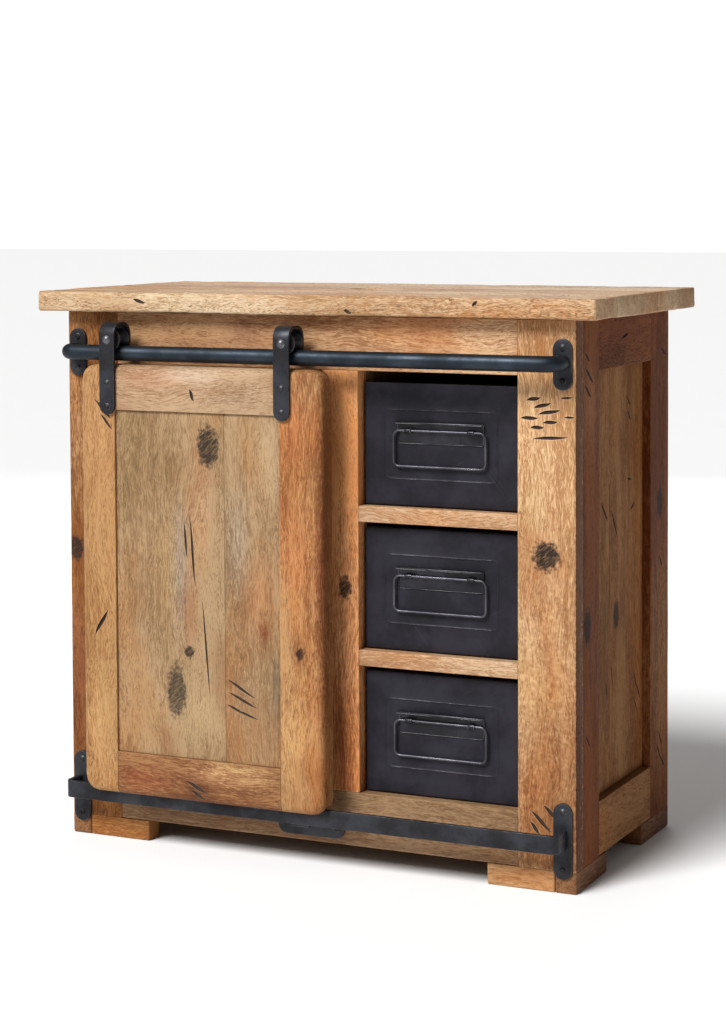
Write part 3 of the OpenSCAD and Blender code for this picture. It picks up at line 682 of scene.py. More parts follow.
# node: tone, grain, open sides, then options; marks and spots are mm from the low corner
boards = {
    "top_board_1": dict(
        tone="slab", grain="x", open="x- x+ y- z- z+", step=0.007, big=0.0035, wobble=0.0016,
        marks=[(139, 14, 19, -10), (407, 6, 12, -11), (560, 17, 9, 60)],
        spots=[(120, 12, 340, 60, (0.62, 0.46, 0.30), 0.7)]),
    "top_board_2": dict(tone="slabPale", grain="x", open="x- x+ z- z+", step=0.010, big=0.003, wobble=0.0008),
    "top_board_3": dict(tone="slab", grain="x", open="x- x+ z- z+", step=0.010, big=0.003, wobble=0.0008),
    "top_board_4": dict(tone="slabPale", grain="x", open="x- x+ z- z+", step=0.010, big=0.003, wobble=0.0008),
    "top_board_5": dict(tone="slab", grain="x", open="x- x+ y+ z- z+", step=0.010, big=0.003, wobble=0.0010),
    "front_stile_left": dict(
        tone="russet", grain="z", open="x- y-",
        spots=[(10, 480, 40, 170, (0.40, 0.22, 0.10), 0.6), (12, 170, 30, 150, (0.14, 0.040, 0.015), 0.8),
               (8, 319, 13, 17, smudge, 0.95)]),
    "front_stile_middle": dict(
        tone="middle", grain="z", open="y-",
        spots=[(15, 380, 40, 160, (0.62, 0.33, 0.14), 0.6), (20, 60, 30, 100, (0.22, 0.07, 0.025), 0.6),
               (28, 232, 10, 17, smudge, 0.95)]),
    "front_stile_right": dict(
        tone="honeyLight", grain="z", open="x+ y-", bands=0.8,
        marks=[(19, 515, 17, 14), (29, 508, 22, 18), (37, 501, 28, 13), (57, 517, 15, 9, 2.6),
               (14, 494, 22, 4), (38, 490, 18, 8), (60, 496, 13, 6, 2.8), (23, 484, 17, 6),
               (38, 473, 42, 5, 3.8), (27, 53, 34, -41), (38, 64, 22, -40), (20, 45, 18, -46)],
        # the first spot darkens the stile towards the bottom, partly as painted shade where the light falls
        # off downwards; the last spot darkens its right side face to the side boards' tone, partly painted
        # shade
        spots=[(45, 60, 120, 360, (0.24, 0.103, 0.040), 1.0), (20, 200, 50, 60, (0.62, 0.36, 0.15), 0.5),
               (25, 440, 40, 70, (0.64, 0.40, 0.21), 0.5), (33, 344, 20, 20, smudge, 0.97),
               (68.6, 300, 1.8, 900, (0.150, 0.052, 0.018), 0.95, 0.7)]),
    "front_rail_top": dict(
        tone="honey", grain="x", open="y-",
        spots=[(440, 30, 240, 90, (0.62, 0.38, 0.21), 0.6), (110, 30, 170, 90, (0.36, 0.17, 0.08), 0.6),
               (170, 42, 40, 30, (0.20, 0.075, 0.035), 0.6)]),
    "front_rail_bottom": dict(tone="low", grain="x", open="y- z-", spots=[(330, 30, 40, 9, smudge, 0.3)]),
    "side_left_post_front": dict(tone="side", grain="z", open="x-"),
    "side_left_post_back": dict(tone="side", grain="z", open="x- y+"),
    "side_left_rail_top": dict(tone="side", grain="y", open="x-"),
    "side_left_rail_bottom": dict(tone="sidePanel", grain="y", open="x- z-"),
    "side_right_post_front": dict(
        tone="side", grain="z", open="x+",
        marks=[(13, 559, 20, -30), (19, 539, 35, -33), (15, 522, 27, -34), (15, 137, 24, -43, 3.0)],
        spots=[(13, 263, 14, 25, smudge, 0.95), (20, 500, 60, 90, (0.24, 0.105, 0.048), 0.6)]),
    "side_right_post_back": dict(
        tone="side", grain="z", open="x+ y+",
        marks=[(45, 551, 27, -21), (38, 301, 20, -48, 3.4), (37, 88, 27, -55, 3.4),
               (31, 74, 28, -52, 3.4), (44, 60, 28, -40, 3.4)],
        spots=[(34, 371, 12, 24, smudge, 0.95), (30, 180, 60, 200, (0.30, 0.135, 0.050), 0.7)]),
    "side_right_rail_top": dict(tone="side", grain="y", open="x+", marks=[(86, 34, 26, 16)]),
    "side_right_rail_bottom": dict(tone="sidePanel", grain="y", open="x+ z-"),
    "back_rail_top": dict(tone="inside", grain="x", open="y+"),
    "back_rail_bottom": dict(tone="inside", grain="x", open="y+ z-"),
    "bottom_board": dict(tone="inside", grain="x"),
    "divider": dict(tone="inside", grain="z"),
    "drawer_wall": dict(tone="inside", grain="z"),
}
slotWoods = {"brown_wood": ("side", "sidePanel"),
             "russet_wood": ("russet", "foot", "footRed", "footPale", "doorRed"),
             "honey_wood": ("honey", "honeyLight", "middle", "doorOrange", "inside")}
slotTones = {tone: slotName for slotName, tones in slotWoods.items() for tone in tones}
spotDepth = 40  # mm; how far a spot reaches into the wood
burntCore = 0.55


def boardSpots(low, spots, face):
    # spots: (across mm, up mm, half width mm, half height mm, colour, strength, core)
    made = []
    for across, up, wide, high, colour, strength, *core in spots:
        core = core[0] if core else (burntCore if colour is smudge else 0.0)
        centre = low + (right if face == "front" else back) * across * mm + upward * up * mm
        radii = (wide, spotDepth, high) if face == "front" else (spotDepth, wide, high)
        made.append((centre, radii, colour, strength, core))
    return made


def makeBoard(name, node, body, low, high, tone, grain, seed, marks=(), spots=(), bands=1.0,
              extraCuts=(), **options):
    piece = boardPiece(name, low, high, seed=seed, **options)
    face = "side" if node.startswith("side_right") else "front"
    anchor = Vector((high.x, low.y, low.z)) if face == "side" else low
    finishWood(piece, node, body, tone, grain, seed, anchor, marks, spots, bands, extraCuts, face)


def finishWood(piece, node, body, tone, grain, seed, anchor, marks, spots, bands=1.0, cuts=(), face="front"):
    material = makeWood(piece.name + "Wood", tone, grain, seed, bands, boardSpots(anchor, spots, face))
    piece.data.materials.append(material)
    for cut in cuts:
        carve(piece, material, [cut])
    if marks:
        carve(piece, cutWood, slashes(anchor, marks, face))
    finishPiece(piece, body, slotTones.get(tone, "pale_wood"), material, node)


def camel(node):
    head, *rest = node.split("_")
    return head + "".join(part.capitalize() for part in rest)


def tubeFaces(rings, loop, closed=False):
    # Quads between rings of points that follow one another, with end faces unless it is closed
    faces = []
    for ring in range(rings if closed else rings - 1):
        start, following = ring * loop, (ring + 1) % rings * loop
        for turn in range(loop):
            other = (turn + 1) % loop
            faces.append((start + turn, start + other, following + other, following + turn))
    if not closed:
        faces.append(tuple(reversed(range(loop))))
        faces.append(tuple(range((rings - 1) * loop, rings * loop)))
    return faces


wasteHole = {"centre": (0, 155), "radius": 23, "chamfer": 1.5, "count": 64, "spare": 3}


def holeCutter():
    # A round cutter that also breaks the hole's two edges
    low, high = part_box("top_board_3")
    bottom, top = round(low.z / mm, 3), round(high.z / mm, 3)
    radius, chamfer, spare = wasteHole["radius"], wasteHole["chamfer"], wasteHole["spare"]
    wide = radius + chamfer
    profile = [(wide + spare, bottom - spare), (wide + spare, bottom - 1e-3), (wide, bottom),
               (radius, bottom + chamfer), (radius, top - chamfer), (wide, top),
               (wide + spare, top + 1e-3), (wide + spare, top + spare)]
    (x, y), count = wasteHole["centre"], wasteHole["count"]
    angles = [2 * math.pi * turn / count for turn in range(count)]
    points = [place(x + reach * math.cos(angle), y + reach * math.sin(angle), z)
              for reach, z in profile for angle in angles]
    return points, tubeFaces(len(profile), count)


def makeCarcass():
    for seed, (node, settings) in enumerate(boards.items(), 3):
        low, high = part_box(node)
        extra = [holeCutter()] if node == "top_board_3" else []
        makeBoard(camel(node), node, "carcass", low, high, seed=seed, extraCuts=extra, **settings)
    print("carcass boards built")


innerRails = {"drawer_rails": ("drawerRail", 0.018, "drawerRail", (31, 32)),  # name, height, tone, seeds
              "drawer_shelves": ("drawerShelf", 0.012, "inside", (33, 34))}


def makeRailsAndShelves():
    for node, (stem, height, tone, seeds) in innerRails.items():
        low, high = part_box(node)
        lower = Vector((high.x, high.y, low.z + height))
        upper = Vector((low.x, low.y, high.z - height))
        for number, (seed, start, end) in enumerate(zip(seeds, (low, upper), (lower, high)), 1):
            makeBoard(f"{stem}{number}", node, "carcass", start, end, tone, "x", seed, open="y-")
    print("drawer rails and shelves built")


sidePanels = {
    "shares": (0, 0.34, 0.66, 1), "small": 0.0012, "seeds": {"left": 40, "right": 43},
    "marks": [
        [(44, 318, 36, -44), (51, 115, 24, -72, 3.0)],
        [(17, 301, 42, -56), (9, 128, 26, -77, 3.0)],
        [(10, 436, 18, -36, 3.4), (11, 420, 20, -42, 3.4), (12, 346, 16, -5, 3.4), (24, 313, 20, 37, 3.0),
         (35, 107, 30, -61, 3.0), (46, 92, 26, -55, 3.0), (37, 76, 36, -53, 3.0)]],
    "spots": [(), [(24, 194, 12, 20, smudge, 0.92)], ()]}


def makeSidePanels():
    for side in ("left", "right"):
        node = f"side_{side}_panel"
        low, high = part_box(node)
        seams = [low.y + share * (high.y - low.y) for share in sidePanels["shares"]]
        for number in range(3):
            details = {key: sidePanels[key][number] if side == "right" else () for key in ("marks", "spots")}
            makeBoard(f"side{side.capitalize()}Plank{number + 1}", node, "carcass",
                      Vector((low.x, seams[number], low.z)), Vector((high.x, seams[number + 1], high.z)),
                      "sidePanel", "z", sidePanels["seeds"][side] + number, small=sidePanels["small"],
                      **details)
    print("side panels built")


backPanel = {"cut": ((-186.5, 280, 300), (-66.5, 310, 400)), "seed": 47, "bands": 0.6, "small": 0.0006}


def makeBackPanel():
    cut = boxPoints(*(place(*corner) for corner in backPanel["cut"]))
    makeBoard("backPanel", "back_panel", "carcass", *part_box("back_panel"), "inside", "z",
              backPanel["seed"], bands=backPanel["bands"], small=backPanel["small"], extraCuts=[cut])
    print("back panel built")


feet = {"board": 0.025, "seed": 50, "open": "x- x+ y- y+ z-", "round": 0.002, "wobble": 0.0005}


def makeFeet():
    seed, thick = feet["seed"], feet["board"]
    for depth, side in (("front", "left"), ("front", "right"), ("back", "left"), ("back", "right")):
        node = f"foot_{depth}_{side}"
        low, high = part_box(node)
        longX, shortX = (low.x, low.x + thick), (low.x + thick, high.x)
        if side == "right":
            longX, shortX = (high.x - thick, high.x), (low.x, high.x - thick)
        shortY = (low.y, low.y + thick) if depth == "front" else (high.y - thick, high.y)
        shortTone = "footPale" if node == "foot_front_right" else "foot"
        for part, (startX, endX), (startY, endY), tone, grain in (
                ("Side", longX, (low.y, high.y), "footRed", "y"), ("Short", shortX, shortY, shortTone, "x")):
            makeBoard(camel(node) + part, node, "carcass", Vector((startX, startY, low.z)),
                      Vector((endX, endY, high.z)), tone, grain, seed, open=feet["open"],
                      big=feet["round"], wobble=feet["wobble"])
            seed += 1
    print("feet built")


door = {"corner": 0.018, "edge": 0.008, "back": 0.0015, "small": 0.0009, "steps": (0.010, 0.010, 0.011),
        "groove": ((-300, -34.5, 50), (60, -26.5, 75)), "uneven": 0.0005, "faceDepth": 0.004}
doorBoards = {
    "door_stile_left": dict(
        tone="doorTan", grain="z", seed=61,
        marks=[(30, 449, 32, -44, 3.6), (35, 434, 24, -47, 3.6), (26, 200, 36, 61, 4.8)],
        # the first spot is a painted highlight: a pale cream line down the door's rounded left edge
        spots=[(0, 330, 3.0, 700, (0.66, 0.47, 0.30), 0.9, 0.4), (20, 100, 40, 80, (0.46, 0.25, 0.10), 0.5),
               (20, 400, 40, 110, (0.42, 0.20, 0.08), 0.5)]),
    "door_stile_right": dict(
        tone="doorOrange", grain="z", seed=64,
        # the long dark strip at 52 mm darkens the door's rounded right edge: painted shade of the edge turned
        # from the light
        spots=[(24, 290, 40, 90, (0.40, 0.15, 0.055), 0.6), (20, 80, 40, 70, (0.44, 0.23, 0.09), 0.6),
               (20, 440, 40, 60, (0.46, 0.20, 0.09), 0.5), (52, 250, 11, 300, (0.17, 0.045, 0.015), 0.75),
               (25, 182, 6, 8, smudge, 0.9), (25, 182, 16, 26, knotRed, 0.6)]),
    "door_rail_top": dict(
        tone="doorPale", grain="x", seed=67, marks=[(102, 20, 15, -65)],
        spots=[(45, 40, 60, 22, (0.36, 0.16, 0.085), 0.5), (100, 42, 60, 14, (0.66, 0.52, 0.40), 0.3),
               (160, 14, 60, 16, (0.30, 0.19, 0.11), 0.5)]),
    "door_rail_bottom": dict(
        tone="doorRed", grain="x", seed=68, marks=[(105, 18, 32, -22), (107, 9, 23, -25)],
        spots=[(150, 36, 70, 22, (0.50, 0.28, 0.13), 0.75), (108, 12, 30, 22, (0.09, 0.028, 0.012), 0.75),
               (35, 20, 50, 26, (0.34, 0.12, 0.05), 0.6)]),
}
doorPanel = {  # joint as a share of the width; marks and spots are mm from the panel's low corner
    "shares": (0.0, 0.665, 1.0), "tone": "panelOlive", "seeds": (71, 72), "round": 0.0012,
    "wobble": 0.0005,
    "marks": [(91, 252, 46, -84, 2.8), (100, 240, 84, -85, 3.0), (117, 128, 120, -85, 2.4),
              (162, 86, 42, -27, 3.4), (164, 73, 42, -22, 3.4), (155, 62, 26, -20, 3.0),
              (169, 57, 32, -15, 3.0)],
    "spots": [
        (45, 330, 60, 110, (0.27, 0.165, 0.078), 0.6), (84, 220, 14, 120, (0.26, 0.195, 0.14), 0.7),
        (112, 300, 26, 90, (0.36, 0.20, 0.105), 0.6), (110, 60, 60, 60, (0.41, 0.26, 0.14), 0.5),
        (60, 210, 26, 90, (0.42, 0.25, 0.12), 0.5), (96, 170, 20, 70, (0.24, 0.105, 0.045), 0.75),
        (159, 250, 24, 110, (0.30, 0.215, 0.145), 0.7), (189, 190, 36, 90, (0.34, 0.145, 0.058), 0.7),
        (191, 150, 10, 20, (0.19, 0.065, 0.028), 0.8), (199, 345, 30, 80, (0.38, 0.25, 0.14), 0.5),
        (209, 90, 16, 60, (0.17, 0.115, 0.068), 0.8), (164, 30, 40, 50, (0.40, 0.25, 0.13), 0.5),
        (121, 360, 17, 30, smudge, 0.92), (95, 123, 8, 8, smudge, 0.95), (78, 76, 15, 38, smudge, 0.85)],
}


def doorOutline():
    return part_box("door_stile_left")[0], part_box("door_stile_right")[1]


def doorShape(point, low, high):
    # Round corners seen from the front, then a round front edge that follows them
    x = [point.x - low.x, high.x - point.x]
    z = [point.z - low.z, high.z - point.z]
    sideX = 0 if x[0] < x[1] else 1
    sideZ = 0 if z[0] < z[1] else 1
    a, b = x[sideX], z[sideZ]
    corner = door["corner"]
    if a < corner and b < corner:
        a, b = roundEdge(a, b, corner)
        away = Vector((corner - a, corner - b))
        inside = corner - away.length
        outward = away.normalized() if away.length > 0 else Vector((1, 0))
    elif a < b:
        inside, outward = a, Vector((1, 0))
    else:
        inside, outward = b, Vector((0, 1))
    thick = high.y - low.y
    moved, y = roundEdge(inside, point.y - low.y, door["edge"])
    a += (moved - inside) * outward.x
    b += (moved - inside) * outward.y
    fromBack = roundEdge(moved, thick - y, door["back"])[1]
    return Vector((high.x - a if sideX else low.x + a, low.y + thick - fromBack,
                   high.z - b if sideZ else low.z + b))


def makeDoorBoard(node, tone, grain, seed, marks=(), spots=()):
    low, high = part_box(node)
    doorLow, doorHigh = doorOutline()
    small = [door["small"]]
    outer = [door["corner"], door["edge"], door["back"]]
    lines, rounded = [], []
    for axis, step in enumerate(door["steps"]):
        atLow = abs(low[axis] - doorLow[axis]) < samePlace
        atHigh = abs(high[axis] - doorHigh[axis]) < samePlace
        lowRounds = outer if axis != 1 else [door["edge"]]
        highRounds = outer if axis != 1 else [door["back"]]
        lines.append(gridLines(low[axis], high[axis], step, lowRounds if atLow else small,
                               highRounds if atHigh else small))
        rounded.append((atLow, atHigh))
    plain = boardShape(low, high, set(), *small, *small, 0.0, seed)

    def shape(point):
        fixed = plain(point)
        for axis in (0, 2):
            atLow, atHigh = rounded[axis]
            if (atLow and point[axis] - low[axis] < door["corner"]
                    or atHigh and high[axis] - point[axis] < door["corner"]):
                fixed[axis] = point[axis]
        result = doorShape(fixed, doorLow, doorHigh)
        if point.y - low.y < door["faceDepth"]:
            soft = softNoise(point * 15 + Vector((seed, 0, seed * 0.5)))
            result.y += door["uneven"] * max(0.0, min(1.0, soft))
        return result

    piece = latticeMesh(camel(node), lines, shape)
    groove = [] if node == "door_rail_top" else [boxPoints(*(place(*corner) for corner in door["groove"]))]
    finishWood(piece, node, "door", tone, grain, seed, low, marks, spots, cuts=groove)


def makeDoor():
    for node, settings in doorBoards.items():
        makeDoorBoard(node, **settings)
    low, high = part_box("door_panel")
    width = high.x - low.x
    for number, seed in enumerate(doorPanel["seeds"]):
        first, last = (share * width for share in doorPanel["shares"][number:number + 2])
        over, wide = first / mm, (last - first) / mm
        marks = [(mark[0] - over, *mark[1:]) for mark in doorPanel["marks"]
                 if -mark[2] / 2 < mark[0] - over < wide + mark[2] / 2]
        spots = [(spot[0] - over, *spot[1:]) for spot in doorPanel["spots"]
                 if -spot[2] < spot[0] - over < wide + spot[2]]
        makeBoard(f"doorPlank{number + 1}", "door_panel", "door", Vector((low.x + first, low.y, low.z)),
                  Vector((low.x + last, high.y, high.z)), doorPanel["tone"], "z", seed, marks=marks,
                  spots=spots, open="y-", big=doorPanel["round"], wobble=doorPanel["wobble"])
    print("door built")


def sweepMesh(name, path, section, upHint, closed=False):
    # section is one loop of (side, up) offsets, or a function that gives it for each path point
    points = []
    count = len(path)
    for index, spot in enumerate(path):
        before = path[index - 1] if closed or index > 0 else spot
        after = path[(index + 1) % count] if closed or index < count - 1 else spot
        along = (after - before).normalized()
        side = along.cross(upHint).normalized()
        up = side.cross(along).normalized()
        loop = section(index) if callable(section) else section
        points += [spot + side * a + up * b for a, b in loop]
    return joinShapes(name, [(points, tubeFaces(count, len(loop), closed))])


latheSide = back.orthogonal().normalized()
latheOther = back.cross(latheSide)


def lathePoints(profile, centre, count=40, hole=False):
    # profile: (radius mm, mm backwards) about an axis along Y; a closed loop when it has a bore
    points, faces, rings = [], [], []
    for radius, height in profile:
        start = len(points)
        turns = count if radius > 0 else 1
        for turn in range(turns):
            angle = 2 * math.pi * turn / count
            reach = (latheSide * math.cos(angle) + latheOther * math.sin(angle)) * radius * mm
            points.append(centre + back * height * mm + reach)
        rings.append([start + turn % turns for turn in range(count)])
    pairs = list(zip(rings, rings[1:])) + ([(rings[-1], rings[0])] if hole else [])
    for first, second in pairs:
        for turn in range(count):
            other = (turn + 1) % count
            corners = dict.fromkeys((first[turn], first[other], second[other], second[turn]))
            if len(corners) > 2:
                faces.append(tuple(corners))
    return points, faces


def domeProfile(radius, height, steps):
    # (radius, height) points over a round head that rises by height in front of zero
    ball = (radius ** 2 + height ** 2) / (2 * height)
    rows = [radius * index / steps for index in range(steps + 1)]
    return [(row, ball - height - math.sqrt(ball ** 2 - row ** 2)) for row in rows]


def circleLoop(radius, count):
    # A round section, radius in metres
    angles = [2 * math.pi * turn / count for turn in range(count)]
    return [(radius * math.cos(angle), radius * math.sin(angle)) for angle in angles]


def stripLoop(width, thick, bevel=0.6):
    # A flat bar's section with broken corners: sizes in mm, offsets in metres
    w, t, part = width / 2, thick / 2, bevel * 0.3
    loop = [(-w + bevel, -t), (w - bevel, -t), (w - part, -t + part), (w, -t + bevel),
            (w, t - bevel), (w - part, t - part), (w - bevel, t), (-w + bevel, t),
            (-w + part, t - part), (-w, t - bevel), (-w, -t + bevel), (-w + part, -t + part)]
    return [(a * mm, b * mm) for a, b in loop]


def flipped(loop):
    return [(b, a) for a, b in loop]


def arcPoints(centre, start, end, radius, first, second, count):
    # Points on an arc in the plane of two unit vectors: radius in mm, angles in degrees
    made = []
    for index in range(count + 1):
        angle = math.radians(start + (end - start) * index / count)
        made.append(centre + (first * math.cos(angle) + second * math.sin(angle)) * radius * mm)
    return made


roundBar = {"radius": 9, "sides": 32, "y": -30.5, "z": 579, "end": 305, "bend": 14, "step": 9,
            "uneven": 0.10}
guideBar = {"height": 20, "thick": 5, "y": -30.5, "z": 61, "end": 307.5, "bend": 6, "step": 12,
            "strip": (22, 6), "stripAt": (-30, -21, -12, -3)}


def backTurnedPath(bar):
    # From the left plate forward, along the front and back to the right plate
    y, z, end, bend = bar["y"], bar["z"], bar["end"], bar["bend"]
    rear = -plates["thick"]
    straight = end - bend
    count = int(straight * 2 / bar["step"])
    path = [place(-end, rear, z)]
    path += arcPoints(place(-straight, y + bend, z), 180, 270, bend, right, back, 8)
    path += [place(-straight + straight * 2 * index / count, y, z) for index in range(1, count)]
    path += arcPoints(place(straight, y + bend, z), 270, 360, bend, right, back, 8)
    return path + [place(end, rear, z)]


def makeRoundBar():
    path = backTurnedPath(roundBar)

    def section(index):
        loop = []
        for a, b in circleLoop(roundBar["radius"] * mm, roundBar["sides"]):
            rub = softNoise(path[index] * 40 + Vector((a, b, 0)) * 200)
            scale = 1 - roundBar["uneven"] * rub / roundBar["radius"]
            loop.append((a * scale, b * scale))
        return loop

    finishMetal(sweepMesh("roundBar", path, section, upward), "carcass", "railIron", "rail_bar")


def makeGuideBar():
    bar = sweepMesh("guideBar", backTurnedPath(guideBar), stripLoop(guideBar["thick"], guideBar["height"]),
                    upward)
    finishMetal(bar, "carcass", "blackIron", "guide_bar")
    low = guideBar["z"] - guideBar["height"] / 2
    path = [place(0, y, low) for y in guideBar["stripAt"]]
    finishMetal(sweepMesh("guideBarStrip", path, stripLoop(*guideBar["strip"]), upward),
                "carcass", "blackIron", "guide_bar")
    print("bars built")


plates = {"width": 22, "thick": 3, "bevel": 0.7, "rearBevel": 0.3, "middleShare": 0.75, "turns": 16,
          "rail": (305, 577, 56), "guide": (305, 58, 84), "middle": (0, 42, 84)}  # x, z, length


def plateMesh(name, x, z, length, level=False):
    # A round-ended plate with a broken front edge
    radius, half = plates["width"] / 2, (length - plates["width"]) / 2
    thick, bevel, rear = plates["thick"], plates["bevel"], plates["rearBevel"]
    outline = []
    for end, start in ((half, 0), (-half, math.pi)):
        for turn in range(plates["turns"] + 1):
            angle = math.pi * turn / plates["turns"] + start
            outline.append((end, radius * math.cos(angle), radius * math.sin(angle)))
    points = []
    rows = ((rear, 0), (0, -rear), (0, -thick + bevel), (bevel * 0.3, -thick + bevel * 0.3),
            (bevel, -thick), (radius * plates["middleShare"], -thick))
    for inset, y in rows:
        for end, a, b in outline:
            share = 1 - inset / radius
            spot = (a * share, end + b * share)
            if level:
                spot = (spot[1], -spot[0])
            points.append(place(x + spot[0], y, z + spot[1]))
    return joinShapes(name, [(points, tubeFaces(len(rows), len(outline)))])


def makePlates():
    for kind, node in (("rail", "rail_plates"), ("guide", "guide_plates")):
        x, z, length = plates[kind]
        for side, word in ((-1, "Left"), (1, "Right")):
            finishMetal(plateMesh(f"{kind}Plate{word}", side * x, z, length), "carcass", "blackIron", node)
    finishMetal(plateMesh("guidePlateMiddle", *plates["middle"], level=True), "carcass", "blackIron",
                "guide_plates")
    print("plates built")


screw = {"head": 4.2, "high": 1.6, "shank": 1.8, "long": 17, "point": 4, "sides": 32,
         "cross": (3.4, 0.9, 0.7), "turn": 0.83,
         "bracket": {305: (559, 595, 26, 90), 32: (42,)}, "strapRows": (517.8, 544.8)}


def screwMesh():
    # Domed cross-recess head; its seat is at the origin and it points back
    head, high, shank, tip = screw["head"], screw["high"], screw["shank"], screw["long"]
    profile = domeProfile(head, high, 6)
    profile += [(head - 0.3, 0.0), (shank, 0.0), (shank, tip - screw["point"]), (0, tip)]
    piece = joinShapes("screw", [lathePoints(profile, Vector((0, 0, 0)), screw["sides"])])
    long, wide, deep = screw["cross"]
    cutters = []
    for a, b in ((long, wide), (wide, long)):
        cutters.append(boxPoints(Vector((-a / 2, -high - 1, -b / 2)) * mm,
                                 Vector((a / 2, deep - high, b / 2)) * mm))
    piece.data.materials.append(metals["screwIron"])
    carve(piece, metals["screwIron"], cutters)
    return piece


def makeScrews():
    seats = []
    for side in (-1, 1):
        for x, rows in screw["bracket"].items():
            seats += [("carcass", "bracket_screws", (side * x, -plates["thick"], z)) for z in rows]
    for x in strap["centres"].values():
        seats += [("door", "strap_screws", (x, strap["front"], z)) for z in screw["strapRows"]]
    first = screwMesh()
    for number, (body, node, spot) in enumerate(seats, 1):
        piece = bpy.data.objects.new(f"screw{number}", first.data.copy())
        scene.collection.objects.link(piece)
        turn = Matrix.Rotation(number * screw["turn"], 4, "Y")
        piece.data.transform(Matrix.Translation(place(*spot)) @ turn)
        finishMetal(piece, body, "screwIron", node)
    bpy.data.objects.remove(first)
    print("screws built")


strap = {"width": 20, "thick": 3.5, "front": -50, "back": -11, "low": 508.8, "top": 614.8,
         "radius": 15, "backLow": 577.8, "rows": (520, 10), "backRow": 592, "uneven": 0.15,
         "endAngles": (4, 12, 22, 34, 48, 64, 80), "centres": {"left": -237, "right": -11}}
roller = {"y": -30.5, "z": 595.3, "outer": 13, "width": 22, "bore": 3.4, "rim": (3, 0.7, 0.3, 0.8),
          "lipRound": 0.2, "grooveCentre": 16.3, "grooveRadius": 9.3, "steps": 12, "sides": 56}
axle = {"head": (5, 2.45, 7), "shank": 3.0, "end": 42.0, "tip": 0.4, "sleeves": (3.5, 31.0),
        "sleeve": (3.05, 4.5, 4.5), "edge": 0.2, "nut": (5.0, 39.0, 0.5)}


def makeStrap(side, x):
    # Up the front, over the roller and down behind it, with both legs' ends round
    radius, half = strap["radius"], strap["width"] / 2
    inner = radius - strap["thick"] / 2
    frontY, backY = strap["front"] + strap["thick"] / 2, strap["back"] - strap["thick"] / 2
    bendZ = strap["top"] - radius

    def roundEnd(z, y):
        # Narrowing rows that give a leg its round end
        rows = [math.radians(degrees) for degrees in strap["endAngles"]]
        return [(place(x, y, z + half * (1 - math.cos(row))), half * math.sin(row)) for row in rows]

    rows = roundEnd(strap["low"], frontY)
    firstRow, rowStep = strap["rows"]
    straight = [place(x, frontY, z) for z in range(firstRow, int(bendZ), rowStep)]
    straight += arcPoints(place(x, frontY + inner, bendZ), 180, 90, inner, back, upward, 8)
    straight += arcPoints(place(x, backY - inner, bendZ), 90, 0, inner, back, upward, 8)
    straight.append(place(x, backY, strap["backRow"]))
    rows += [(spot, half) for spot in straight]
    rows += reversed(roundEnd(strap["backLow"], backY))

    def section(index):
        # The thickness lies across the path in its own plane, the width along X
        spot, wide = rows[index]
        rub = strap["uneven"] * softNoise(spot * 60)
        return flipped(stripLoop(2 * wide - rub, strap["thick"], min(0.6, wide * 0.5)))

    piece = sweepMesh(f"strap{side.capitalize()}", [spot for spot, wide in rows], section, right)
    finishMetal(piece, "door", "blackIron", f"strap_{side}")


def makeAxle(side, x):
    # Domed bolt, two spacer sleeves and a nut behind
    centre = place(x, strap["front"], roller["z"])
    shank, end, tip = axle["shank"], axle["end"], axle["tip"]
    profile = domeProfile(*axle["head"])
    profile += [(axle["head"][0] - 0.1, 0.0), (shank, 0.0), (shank, end - axle["edge"]),
                (shank - tip, end), (0, end)]
    shapes = [lathePoints(profile, centre, 36)]
    bore, outer, long = axle["sleeve"]
    edge = axle["edge"]
    for start in axle["sleeves"]:
        sleeve = [(bore, start), (outer - edge, start), (outer, start + edge),
                  (outer, start + long - edge), (outer - edge, start + long), (bore, start + long)]
        shapes.append(lathePoints(sleeve, centre, 32, hole=True))
    nut, nutStart, nutEdge = axle["nut"]
    shapes.append(lathePoints([(0, nutStart), (nut, nutStart), (nut, end - tip), (nut - nutEdge, end),
                               (0, end)], centre, 6))
    finishMetal(joinShapes(f"axle{side.capitalize()}", shapes), "door", "brightSteel", "roller_axles")


def makeRoller(side, x):
    half, outer, bore = roller["width"] / 2, roller["outer"], roller["bore"]
    centre, radius = roller["grooveCentre"], roller["grooveRadius"]
    face, shoulder, rise, edge = roller["rim"]
    lip = math.sqrt(radius ** 2 - (centre - outer) ** 2)
    limit, steps = math.asin(lip / radius), roller["steps"]
    rim = [(bore, half), (outer - face, half), (outer - shoulder, half - rise), (outer, half - edge),
           (outer, lip + roller["lipRound"])]
    angles = [-limit + 2 * limit * index / steps for index in range(steps + 1)]
    groove = [(centre - radius * math.cos(angle), radius * math.sin(angle)) for angle in angles]
    profile = [(reach, -height) for reach, height in rim] + groove + rim[::-1]
    spot = place(x, roller["y"], roller["z"])
    piece = joinShapes(f"roller{side.capitalize()}", [lathePoints(profile, spot, roller["sides"], hole=True)])
    finishMetal(piece, f"roller_{side}", "blackIron", f"roller_{side}")


def makeHangers():
    for side, x in strap["centres"].items():
        makeStrap(side, x)
        makeAxle(side, x)
        makeRoller(side, x)
    print("hangers built")


drawer = {"middle": 156, "floors": {1: 413, 2: 250, 3: 87}, "height": 138, "width": 186, "face": 12,
          "pan": 12, "sheet": 1.2, "edge": 2.0, "border": (138, 80, 5), "bead": (2.6, 0.6),
          "dent": 0.35, "dentScale": (0.018, 0.022), "dentRim": 8, "nearBead": (2.5, 5), "step": 9,
          "trayBevel": 0.0004}
pull = {"ringUp": 85, "ringY": 7.7, "ring": (111, 40, 7), "wire": 3, "wireSides": 16,
        "plate": (104, 25), "rows": (0, 0.5, 1.4, 3, 9, 16), "lowInsets": (5, 2.4, 0.8),
        "lip": (6, 2.4), "lipTop": 10.4, "bend": 1.2, "bevel": 0.35, "eye": (38, 8, 2.4, 1.0),
        "eyeBevel": 0.25}


